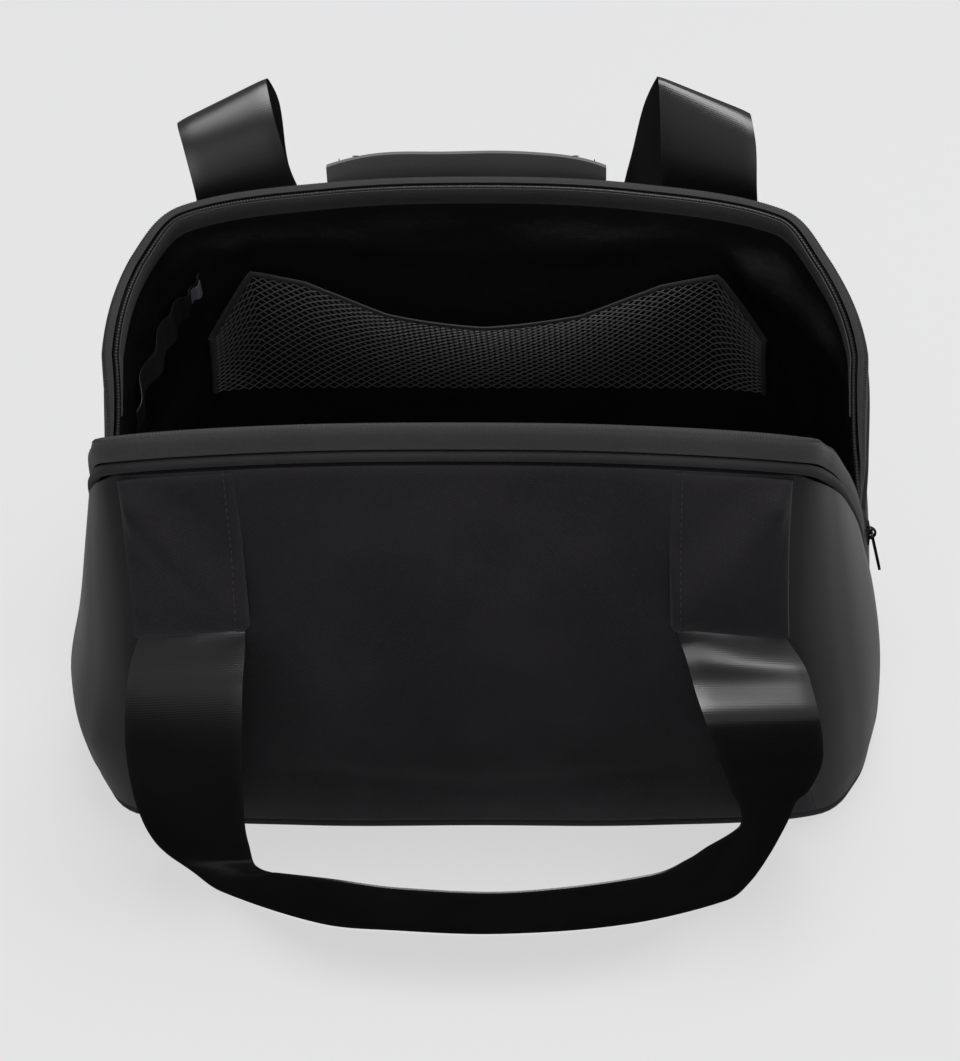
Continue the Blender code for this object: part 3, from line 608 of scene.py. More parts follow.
class RowTree:
    """Geometry Nodes that set one rounded shape along paths, or sweep a strand along them."""

    def __init__(self, name: str, inputs: tuple[str, ...]) -> None:
        """Start a tree with a path, named sizes and a finish."""
        self.tree = bpy.data.node_groups.new(name, "GeometryNodeTree")
        sockets = self.tree.interface
        sockets.new_socket("Path", in_out="INPUT", socket_type="NodeSocketGeometry")
        for label in inputs:
            sockets.new_socket(label, in_out="INPUT", socket_type="NodeSocketFloat")
        sockets.new_socket("Finish", in_out="INPUT", socket_type="NodeSocketMaterial")
        sockets.new_socket("Row", in_out="OUTPUT", socket_type="NodeSocketGeometry")
        self.given = self.node("NodeGroupInput").outputs

    def node(self, kind: str, settings: dict | None = None, inputs: dict | None = None) -> bpy.types.Node:
        """Add a node with its settings, then the values or links of its sockets."""
        made = self.tree.nodes.new(kind)
        for key, value in (settings or {}).items():
            setattr(made, key, value)
        for key, value in (inputs or {}).items():
            if isinstance(value, bpy.types.NodeSocket):
                self.tree.links.new(value, made.inputs[key])
            else:
                made.inputs[key].default_value = value
        return made

    def end(self, geometry: bpy.types.NodeSocket) -> None:
        """Realize, smooth and finish the geometry, and hand it out."""
        real = self.node("GeometryNodeRealizeInstances", inputs={"Geometry": geometry}).outputs[0]
        round_ = self.node("GeometryNodeSetShadeSmooth", inputs={"Geometry": real}).outputs[0]
        done = self.node("GeometryNodeSetMaterial", inputs={
            "Geometry": round_, "Material": self.given["Finish"]})
        self.node("NodeGroupOutput", inputs={"Row": done.outputs[0]})

    def swept(self, curve: bpy.types.NodeSocket, radius: bpy.types.NodeSocket,
              sides: int) -> bpy.types.NodeSocket:
        """Return a strand swept along a curve."""
        ring = self.node("GeometryNodeCurvePrimitiveCircle", inputs={"Resolution": sides, "Radius": radius})
        return self.node("GeometryNodeCurveToMesh", inputs={
            "Curve": curve, "Profile Curve": ring.outputs["Curve"]}).outputs[0]

    @classmethod
    def of_shapes(cls, name: str, cored: bool) -> "RowTree":
        """Return a tree that sets rounded shapes at even steps, on a core where asked."""
        made = cls(name, ("Spacing", "Length", "Width", "Height", "Core Radius"))
        given = made.given
        curve = made.node("GeometryNodeMeshToCurve", inputs={"Mesh": given["Path"]}).outputs[0]
        steps = made.node("GeometryNodeResampleCurve", {"mode": "LENGTH"}, {
            "Curve": curve, "Length": given["Spacing"]}).outputs[0]
        facing = made.node("GeometryNodeInputNamedAttribute", {"data_type": "FLOAT_VECTOR"}, {
            "Name": "facing"})
        tangent = made.node("GeometryNodeInputTangent").outputs[0]
        turn = made.node("FunctionNodeAxesToRotation", {"primary_axis": "X", "secondary_axis": "Z"}, {
            "Primary Axis": tangent, "Secondary Axis": facing.outputs["Attribute"]}).outputs[0]
        size = made.node("ShaderNodeCombineXYZ", inputs={
            "X": given["Length"], "Y": given["Width"], "Z": given["Height"]}).outputs[0]
        bead = made.node("GeometryNodeMeshUVSphere", inputs={"Segments": 6, "Rings": 4, "Radius": 0.5})
        shape = made.node("GeometryNodeTransform", inputs={
            "Geometry": bead.outputs["Mesh"], "Scale": size}).outputs[0]
        result = made.node("GeometryNodeInstanceOnPoints", inputs={
            "Points": steps, "Instance": shape, "Rotation": turn}).outputs[0]
        if cored:
            core = made.swept(curve, given["Core Radius"], 8)
            both = made.node("GeometryNodeJoinGeometry")
            made.tree.links.new(result, both.inputs[0])
            made.tree.links.new(core, both.inputs[0])
            result = both.outputs[0]
        made.end(result)
        return made

    @classmethod
    def of_strands(cls, name: str) -> "RowTree":
        """Return a tree that sweeps thin strands along its paths."""
        made = cls(name, ("Strand Radius",))
        curve = made.node("GeometryNodeMeshToCurve", inputs={"Mesh": made.given["Path"]}).outputs[0]
        made.end(made.swept(curve, made.given["Strand Radius"], 3))
        return made

    def grow(self, name: str, paths: list, facings: list, values: dict,
             material: bpy.types.Material) -> bpy.types.Object:
        """Run the tree over paths and keep its result as a plain mesh.

        Args:
            name: The piece's name.
            paths: Arrays of places, one for each path.
            facings: Arrays of directions out of the cloth, one for each path.
            values: Sizes by the names of the tree's inputs.
            material: The finish.

        Returns:
            The object.
        """
        starts = np.cumsum([0] + [len(path) for path in paths])
        edges = [(int(s) + k, int(s) + k + 1) for s, path in zip(starts, paths) for k in range(len(path) - 1)]
        mesh = bpy.data.meshes.new(f"{name}_path")
        mesh.from_pydata(np.concatenate(paths).tolist(), edges, [])
        facing = mesh.attributes.new("facing", "FLOAT_VECTOR", "POINT")
        facing.data.foreach_set("vector", np.concatenate(facings).astype(np.float32).ravel())
        made = bpy.data.objects.new(name, mesh)
        bpy.context.scene.collection.objects.link(made)
        modifier = made.modifiers.new("row", "NODES")
        modifier.node_group = self.tree
        named = {item.name: item.identifier for item in self.tree.interface.items_tree}
        for label, value in (values | {"Finish": material}).items():
            modifier[named[label]] = value
        seen = made.evaluated_get(bpy.context.evaluated_depsgraph_get())
        grown = bpy.data.meshes.new_from_object(seen)
        made.modifiers.clear()
        bpy.data.objects.remove(made)
        return shown(name, grown, material, 60.0)


# Shader maths

class Field:
    """A number that varies over a surface, as a socket that takes arithmetic."""

    def __init__(self, graph: "Graph", socket: bpy.types.NodeSocket) -> None:
        """Wrap a socket of a graph."""
        self.graph = graph
        self.socket = socket

    def math(self, operation: str, *others: "Field | float") -> "Field":
        """Return the result of a Math node on this number and others."""
        inputs = dict(enumerate((self, *others)))
        made = self.graph.node("ShaderNodeMath", {"operation": operation}, inputs)
        return Field(self.graph, made.outputs[0])

    def __add__(self, other: "Field | float") -> "Field":
        """Return the sum."""
        return self.math("ADD", other)

    def __sub__(self, other: "Field | float") -> "Field":
        """Return the difference."""
        return self.math("SUBTRACT", other)

    def __rsub__(self, other: float) -> "Field":
        """Return the difference from a number."""
        return (self * -1.0).math("ADD", other)

    def __mul__(self, other: "Field | float") -> "Field":
        """Return the product."""
        return self.math("MULTIPLY", other)

    def __truediv__(self, other: "Field | float") -> "Field":
        """Return the quotient."""
        return self.math("DIVIDE", other)

    __radd__, __rmul__ = __add__, __mul__

    def wave(self, length: float, shift: "Field | float" = 0.0) -> "Field":
        """Return a wave from 0 to 1 that repeats over a length, moved by a share of it."""
        turns = self * (2 * math.pi / length) + shift * (2 * math.pi)
        return turns.math("SINE") * 0.5 + 0.5

    def between(self, low: float, high: float) -> "Field":
        """Return 0 below low and 1 above high, eased between them."""
        made = self.graph.node("ShaderNodeMapRange", {"interpolation_type": "SMOOTHSTEP"}, {
            "Value": self, "From Min": low, "From Max": high})
        return Field(self.graph, made.outputs["Result"])


class Graph:
    """The node graph of one material."""

    def __init__(self, name: str) -> None:
        """Start an empty material."""
        self.material = bpy.data.materials.new(name)
        self.material.use_nodes = True
        self.tree = self.material.node_tree
        self.tree.nodes.clear()

    def node(self, kind: str, settings: dict | None = None, inputs: dict | None = None) -> bpy.types.Node:
        """Add a node with its settings, then the values or links of its sockets."""
        made = self.tree.nodes.new(kind)
        for key, value in (settings or {}).items():
            setattr(made, key, value)
        for key, value in (inputs or {}).items():
            socket = value.socket if isinstance(value, Field) else value
            if isinstance(socket, bpy.types.NodeSocket):
                self.tree.links.new(socket, made.inputs[key])
            else:
                made.inputs[key].default_value = socket
        return made

    def coords(self) -> tuple[Field, Field]:
        """Return the cloth coordinates across and along, in metres."""
        layer = self.node("ShaderNodeUVMap", {"uv_map": "UVMap"})
        split = self.node("ShaderNodeSeparateXYZ", inputs={"Vector": layer.outputs["UV"]})
        return Field(self, split.outputs["X"]), Field(self, split.outputs["Y"])

    def place(self) -> bpy.types.NodeSocket:
        """Return the place on the object, in metres."""
        return self.node("ShaderNodeTexCoord").outputs["Object"]

    def wear(self) -> Field:
        """Return the wear along the piece's edges."""
        return Field(self, self.node("ShaderNodeAttribute", {"attribute_name": "wear"}).outputs["Fac"])

    def noise(self, length: float, detail: float = 2.0) -> Field:
        """Return clouds from 0 to 1 of about a length."""
        made = self.node("ShaderNodeTexNoise", inputs={
            "Vector": self.place(), "Scale": 1.0 / length, "Detail": detail, "Roughness": 0.55})
        return Field(self, made.outputs["Fac"])

    def mix(self, share: Field, first: tuple, second: tuple) -> bpy.types.NodeSocket:
        """Return a colour between two."""
        made = self.node("ShaderNodeMix", {"data_type": "RGBA"})
        self.tree.links.new(share.socket, made.inputs["Factor"])
        colours = [socket for socket in made.inputs if socket.type == "RGBA"]
        colours[0].default_value = (*first, 1.0)
        colours[1].default_value = (*second, 1.0)
        return next(socket for socket in made.outputs if socket.type == "RGBA")

    def surface(self, settings: dict, relief: Field, depth: float) -> bpy.types.Material:
        """Finish the material with its shader and its relief.

        Args:
            settings: Values or links of the shader's sockets.
            relief: Height from 0 to 1.
            depth: Depth of the relief in metres.

        Returns:
            The material.
        """
        bump = self.node("ShaderNodeBump", inputs={"Height": relief, "Distance": depth, "Strength": 1.0})
        shader = self.node("ShaderNodeBsdfPrincipled", inputs=settings | {"Normal": bump.outputs["Normal"]})
        self.node("ShaderNodeOutputMaterial", inputs={"Surface": shader.outputs["BSDF"]})
        return self.material


class Weave(Enum):
    """How a cloth is made."""

    TWILL = "twill with steep ribs"
    RIBBED = "webbing with ribs across it"
    TAPE = "close woven tape"
    JERSEY = "smooth jersey over foam"
    SATIN = "thin coated lining"
    YARN = "plain yarn"


@dataclass(frozen=True)
class ClothFinish:
    """A cloth's weave, colours and gloss."""

    name: str
    weave: Weave
    colour: tuple[float, float, float]
    # Second colour, towards which edge wear, random tone and the painted light and shade of the relief blend.
    paler: tuple[float, float, float]
    roughness: float
    pitch: float
    depth: float
    sheen: float = 0.0
    specular: float = 0.5
    # How far the relief is painted into the colour: painted light on raised threads and fold tops, painted
    # shade in the grooves.
    contrast: float = 0.15

    def relief(self, graph: Graph) -> Field:
        """Return the height of the weave, from 0 to 1."""
        grain = graph.noise(0.0006, 2.0)
        if self.weave in (Weave.JERSEY, Weave.YARN):
            return grain * 0.6 + graph.noise(self.pitch, 3.0) * 0.4
        across, along = graph.coords()
        if self.weave is Weave.TWILL:
            side = across.math("ABSOLUTE")
            ribs = (side + along).wave(self.pitch)
            ends = (side - along).wave(self.pitch * 0.62)
            return ribs * (ends * 0.45 + 0.55) * 0.85 + grain * 0.15
        if self.weave is Weave.RIBBED:
            line = (along / self.pitch).math("FLOOR")
            ribs = along.wave(self.pitch)
            ends = across.wave(self.pitch * 0.9, line * 0.5)
            return ribs * 0.55 + ends * 0.30 + grain * 0.15
        if self.weave is Weave.TAPE:
            return across.wave(self.pitch) * along.wave(self.pitch * 1.3) * 0.7 + grain * 0.3
        folds = graph.noise(0.022, 3.0)
        return folds * 0.92 + across.wave(self.pitch) * along.wave(self.pitch) * 0.03 + grain * 0.05

    def material(self) -> bpy.types.Material:
        """Return the cloth's material."""
        graph = Graph(self.name)
        relief = self.relief(graph)
        clouds = graph.noise(0.045, 3.0)
        fuzz = graph.noise(0.0011, 2.0)
        # Real edge wear and random tone, then the relief painted in: raised threads lighter and grooves
        # darker, a painted light and shade.
        share = graph.wear() * 0.35 + clouds.between(0.35, 0.75) * 0.14 + fuzz.between(0.45, 0.8) * 0.16
        share = share + relief * self.contrast
        rough = clouds * 0.08 + relief * 0.08 + (self.roughness - 0.08)
        return graph.surface({
            "Base Color": graph.mix(share, self.colour, self.paler),
            "Roughness": rough,
            "Specular IOR Level": self.specular,
            "Sheen Weight": self.sheen,
            "Sheen Roughness": 0.45,
        }, relief, self.depth)


@dataclass(frozen=True)
class HardFinish:
    """A smooth hard finish, such as nylon or painted metal."""

    name: str
    colour: tuple[float, float, float]
    paler: tuple[float, float, float]
    roughness: float
    metallic: float = 0.0
    coat: float = 0.0

    def material(self) -> bpy.types.Material:
        """Return the finish's material."""
        graph = Graph(self.name)
        marks = graph.noise(0.0012, 3.0)
        share = marks.between(0.55, 0.8)
        return graph.surface({
            "Base Color": graph.mix(share, self.colour, self.paler),
            "Roughness": marks * 0.12 + (self.roughness - 0.06),
            "Metallic": self.metallic,
            "Coat Weight": self.coat,
        }, marks, 0.00002)


@dataclass(frozen=True)
class Finishes:
    """The bag's finishes, by their slots in the record."""

    panel_cloth: ClothFinish = ClothFinish(
        "panel_twill", Weave.TWILL, (0.0022, 0.0018, 0.0024), (0.0440, 0.0400, 0.0460),
        0.80, 0.0013, 0.00010,
        sheen=0.06, specular=0.25, contrast=0.75)
    # Piping: the panel's twill with its colours lifted, a painted sheen along the rounded cord.
    piping_cloth: ClothFinish = ClothFinish(
        "piping_twill", Weave.TWILL, (0.0160, 0.0150, 0.0165), (0.0660, 0.0620, 0.0680),
        0.70, 0.0012, 0.00010,
        sheen=0.06, specular=0.35, contrast=0.40)
    gusset_cloth: ClothFinish = ClothFinish(
        "gusset_jersey", Weave.JERSEY, (0.0172, 0.0165, 0.0178), (0.0310, 0.0300, 0.0320),
        0.85, 0.0020, 0.00008,
        sheen=0.15, specular=0.30)
    sleeve_cloth: ClothFinish = ClothFinish(
        "sleeve_jersey", Weave.JERSEY, (0.1300, 0.1270, 0.1310), (0.1900, 0.1870, 0.1910),
        0.80, 0.0020, 0.00008,
        sheen=0.25, specular=0.35)
    # Zip tape: its colours are partly its own tone and partly a painted sheen of the lip band where it curls
    # over the rim.
    tape_cloth: ClothFinish = ClothFinish(
        "zip_tape_weave", Weave.TAPE, (0.0400, 0.0400, 0.0408), (0.0800, 0.0800, 0.0815),
        0.85, 0.0007, 0.00015,
        sheen=0.10, specular=0.30, contrast=0.30)
    webbing: ClothFinish = ClothFinish(
        "strap_webbing", Weave.RIBBED, (0.0032, 0.0032, 0.0036), (0.0130, 0.0130, 0.0140),
        0.33, 0.0011, 0.00003,
        specular=0.9, contrast=0.40)
    lining_cloth: ClothFinish = ClothFinish(
        "lining_satin", Weave.SATIN, (0.0040, 0.0040, 0.0045), (0.0110, 0.0110, 0.0120),
        0.50, 0.0006, 0.0018,
        specular=0.40)
    mesh: ClothFinish = ClothFinish(
        "pocket_net", Weave.YARN, (0.1500, 0.1500, 0.1510), (0.2300, 0.2300, 0.2310),
        0.60, 0.0012, 0.00005)
    label_ribbon: ClothFinish = ClothFinish(
        "label_satin", Weave.TAPE, (0.0120, 0.0120, 0.0130), (0.0280, 0.0280, 0.0300),
        0.40, 0.0006, 0.00004)
    label_blank: ClothFinish = ClothFinish(
        "label_blank_cloth", Weave.TAPE, (0.1500, 0.1700, 0.2000), (0.2100, 0.2300, 0.2600),
        0.70, 0.0006, 0.00006)
    thread: ClothFinish = ClothFinish(
        "stitch_thread", Weave.YARN, (0.0300, 0.0290, 0.0310), (0.0550, 0.0540, 0.0560),
        0.60, 0.0008, 0.00004)
    coil_nylon: HardFinish = HardFinish(
        "zip_teeth_nylon", (0.0300, 0.0300, 0.0310), (0.0600, 0.0600, 0.0620), 0.30)
    black_metal: HardFinish = HardFinish(
        "slider_black_gloss", (0.0180, 0.0180, 0.0185), (0.0450, 0.0450, 0.0460), 0.24, 0.6, 0.5)


class Workshop:
    """What every sub-assembly needs: the wall's surface, the finishes and the row trees."""

    def __init__(self, sizes: BagSizes, finishes: Finishes) -> None:
        """Make each finish and each tree once."""
        self.sizes = sizes
        self.surface = WallSurface(sizes)
        names = finishes.__dataclass_fields__
        self.materials = {name: getattr(finishes, name).material() for name in names}
        self.stitches = RowTree.of_shapes("row_of_stitches", False)
        self.teeth = RowTree.of_shapes("row_of_teeth", True)
        self.strands = RowTree.of_strands("net_of_strands")

    def keep(self, piece: bpy.types.Object, slot: str, *nodes: str, body: str = "bag") -> None:
        """Give a piece its body and hide the solids that it stands for.

        Args:
            piece: The piece.
            slot: Material slot of the record; not used.
            *nodes: Solids that the piece replaces.
            body: Body on which it rides.
        """
        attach(piece, body)
        if nodes:
            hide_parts(*nodes)
        faces = sum(len(face.vertices) - 2 for face in piece.data.polygons)
        LOG.info("%s: %d triangles, rides on %s", piece.name, faces, body)

    def row(self, name: str, paths: list, facings: list, shape: RowShape, finish: str) -> bpy.types.Object:
        """Set a row of rounded shapes along paths."""
        tree = self.teeth if shape.core else self.stitches
        values = {"Spacing": shape.spacing, "Length": shape.length, "Width": shape.width,
                  "Height": shape.height, "Core Radius": shape.core}
        return tree.grow(name, paths, facings, values, self.materials[finish])


# Sub-assemblies

@dataclass(frozen=True)
class Walls:
    """Front and back panels, side gussets and base."""

    shop: Workshop
    step: float = 0.003
    rows: int = 70
    seam_dip: float = 0.0012
    seam_reach: float = 0.0042
    puff: float = 0.0012

    def relief(self, station: np.ndarray, share: np.ndarray, first: float, last: float) -> np.ndarray:
        """Return how far a wall's face stands out between its two seams.

        Args:
            station: Stations on the wall.
            share: Shares of its height.
            first: Station of its first seam.
            last: Station of its last seam.

        Returns:
            The outward distances.
        """
        surface = self.shop.surface
        places = surface.plan(station, share)
        ends = [surface.plan(np.full_like(station, end), share) for end in (first, last)]
        away = np.minimum(*(np.linalg.norm(places - end, axis=-1) for end in ends))
        out = -self.seam_dip * hill(away, self.seam_reach) + self.puff * ease(away / 0.03)
        out = out * ease(share * 12)
        z = places[..., 2]
        if first < 0 < last:
            side = np.abs(places[..., 0])
            out = out - 0.0022 * hill(np.hypot(side - 0.088, z - 0.150), 0.020)
            out = out + 0.0018 * hill(side - 0.070, 0.016) * hill(z - 0.100, 0.035)
            out = out - 0.0010 * hill(z - 0.040 - 0.15 * (side - 0.05), 0.007) * ease((0.10 - side) / 0.04)
        elif last - first > 6:
            middle = station % BACK_MIDDLE - ZIP_END
            for lean, reach in ((-2.1, 0.30), (-0.9, 0.26), (0.7, 0.24), (1.9, 0.30)):
                line = middle - lean * (1.05 - share)
                out = out - 0.0014 * hill(line, reach) * hill(share - 0.72, 0.24)
            bulge = 0.0055 * hill(z - 0.044, 0.030) if last < 0 else 0.0016 * hill(z - 0.060, 0.040)
            out = out + bulge * ease(away / 0.03) * ease((1 - share) * 4)
        return out

    def wall(self, name: str, first: float, last: float, finish: str) -> None:
        """Make one wall between two seams and keep it for its solid."""
        surface, z = self.shop.surface, self.shop.sizes
        stations = surface.spaced(first, last, self.step, 0.5)
        stations[0] += 0.0025
        stations[-1] -= 0.0025
        station = np.broadcast_to(stations, (self.rows + 1, len(stations)))
        share = surface.row(stations, np.linspace(0.0, z.wall_rows, self.rows + 1)[:, None])
        out = self.relief(station, share, first, last)
        mesh = ClothMesh()
        outer = surface.point(station, share, -out)
        inner = surface.point(station, share, np.full_like(share, z.wall))
        middle = np.linalg.norm(np.diff(outer, axis=1), axis=2).mean(axis=0).sum() / 2
        mesh.shell(outer, inner, (-middle, 0.0))
        piece = mesh.piece(f"{name}_cloth", self.shop.materials[finish])
        self.shop.keep(piece, finish, name)

    def base(self) -> None:
        """Make the base panel with its rounded edge."""
        surface, z = self.shop.surface, self.shop.sizes
        stations = surface.spaced(0.0, WHOLE_TURN, 0.004, 0.0)[:-1]
        edge = surface.point(stations, 0.0)[:, :2]
        out = surface.outward(stations, 0.0 * stations)[:, :2]
        turns = np.linspace(-math.pi / 2, math.pi / 2, 7)
        insets = [0.0012 * (1 - math.cos(turn)) for turn in turns]
        heights = [z.base / 2 + (z.base / 2) * math.sin(turn) for turn in turns]
        shares = (0.03, 0.25, 0.5, 0.75, 0.93)
        rings = [np.column_stack((edge * share, np.zeros(len(edge)))) for share in shares]
        rings += [np.column_stack((edge - out * inset, np.full(len(edge), rise)))
                  for inset, rise in zip(insets, heights)]
        rings += [np.column_stack((edge * share, np.full(len(edge), z.base))) for share in shares[::-1]]
        mesh = ClothMesh()
        mesh.tube(np.array(rings))
        # The base wears the piping's lighter twill, and so its painted sheen.
        piece = mesh.piece("base_panel_cloth", self.shop.materials["piping_cloth"])
        self.shop.keep(piece, "panel_cloth", "base_panel")

    def make(self) -> None:
        """Make every wall and the base."""
        self.wall("front_panel", -FRONT_SEAM, FRONT_SEAM, "panel_cloth")
        self.wall("right_gusset", FRONT_SEAM, BACK_SEAM, "gusset_cloth")
        self.wall("back_panel", BACK_SEAM, WHOLE_TURN - BACK_SEAM, "panel_cloth")
        self.wall("left_gusset", -BACK_SEAM, -FRONT_SEAM, "gusset_cloth")
        self.base()


@dataclass(frozen=True)
class Mouth:
    """Piping, zip tapes, coils and the band inside the mouth."""

    shop: Workshop
    step: float = 0.0022
    tooth: RowShape = RowShape(0.0015, 0.00085, 0.0025, 0.0024, 0.00075)
    tick: RowShape = RowShape(0.00125, 0.00050, 0.0022, 0.0005)

    def piping(self, side: str, first: float, last: float) -> None:
        """Make one run of the piping cord."""
        surface, z = self.shop.surface, self.shop.sizes
        stations = surface.spaced(first, last, self.step)
        stations[0] += 0.003
        stations[-1] -= 0.003
        places, out, upward = surface.seam(stations)
        mesh = ClothMesh()
        mesh.tube(rings_round(places - out * z.piping * 0.1, out, upward, z.piping, 14))
        self.shop.keep(mesh.piece(f"{side}_piping_cord", self.shop.materials["piping_cloth"]),
                       "panel_cloth", f"{side}_piping")

    def tape(self, side: str, first: float, last: float) -> None:
        """Make one zip tape, with the row of ticks that sews its coil down."""
        surface, z = self.shop.surface, self.shop.sizes
        stations = surface.spaced(first, last, self.step)[:, None]
        where = np.linspace(0.0, 6.0, 19)[None, :]
        face = surface.tape(stations, where)
        _, normal = surface.tape_frame(stations, where)
        mesh = ClothMesh(0.0012)
        mesh.shell(face, face - normal * z.tape)
        self.shop.keep(mesh.piece(f"{side}_zip_tape_weave", self.shop.materials["tape_cloth"]),
                       "tape_cloth", f"{side}_zip_tape")
        line = surface.spaced(first + 0.05, last - 0.05, 0.002)
        place = np.full_like(line, 4.05)
        _, normal = surface.tape_frame(line, place)
        path = surface.tape(line, place)
        ticks = self.shop.row(f"{side}_zip_tape_ticks", [path], [normal], self.tick, "thread")
        self.shop.keep(ticks, "tape_cloth")

    def coil(self, side: str, first: float, last: float) -> None:
        """Make the teeth of one zip half."""
        surface = self.shop.surface
        line = surface.spaced(first, last, 0.002)
        _, out, _ = surface.seam(line)
        coil = self.shop.row(f"{side}_zip_teeth", [surface.coil(line)], [out], self.tooth, "coil_nylon")
        self.shop.keep(coil, "coil_nylon", f"{side}_zip_coil")

    def facing(self, side: str, first: float, last: float) -> None:
        """Make the band that hangs inside the rim, from the coil down over the lining's edge."""
        surface, z = self.shop.surface, self.shop.sizes
        stations = surface.spaced(first, last, self.step)
        places, out, upward = surface.seam(stations)
        coil = surface.coil(stations)
        start = coil - out * (z.coil + 0.0007)
        clear = z.lining_in + z.lining_play + 0.0010
        end = places - out * clear + upward * 0.0005
        shares = np.linspace(0.0, 1.0, 9)
        rows = []
        for share in shares:
            level = start * (1 - share) + end * share
            rows.append(level - out * 0.0012 * math.sin(math.pi * share))
        face = np.stack(rows, axis=1)
        ends = np.linspace(-1.0, 1.0, len(stations))[:, None, None]
        face = face[:, :1] + (face - face[:, :1]) * (0.06 + 0.94 * ease((1 - np.abs(ends)) * 7))
        mesh = ClothMesh(0.0010)
        mesh.shell(face, face + out[:, None] * 0.0006)
        piece = mesh.piece(f"{side}_mouth_facing", self.shop.materials["tape_cloth"])
        self.shop.keep(piece, "tape_cloth")

    def make(self) -> None:
        """Make the whole mouth."""
        back_end = WHOLE_TURN - ZIP_END
        self.piping("front", -ZIP_END, ZIP_END)
        self.piping("back", ZIP_END, back_end)
        for build in (self.tape, self.coil):
            build("front", 0.5 - ZIP_END, ZIP_END - 0.5)
            build("back", ZIP_END + 0.5, back_end - 0.5)
        self.facing("front", 2.4 - ZIP_END, ZIP_END - 2.4)
        self.facing("back", ZIP_END + 2.4, back_end - 2.4)


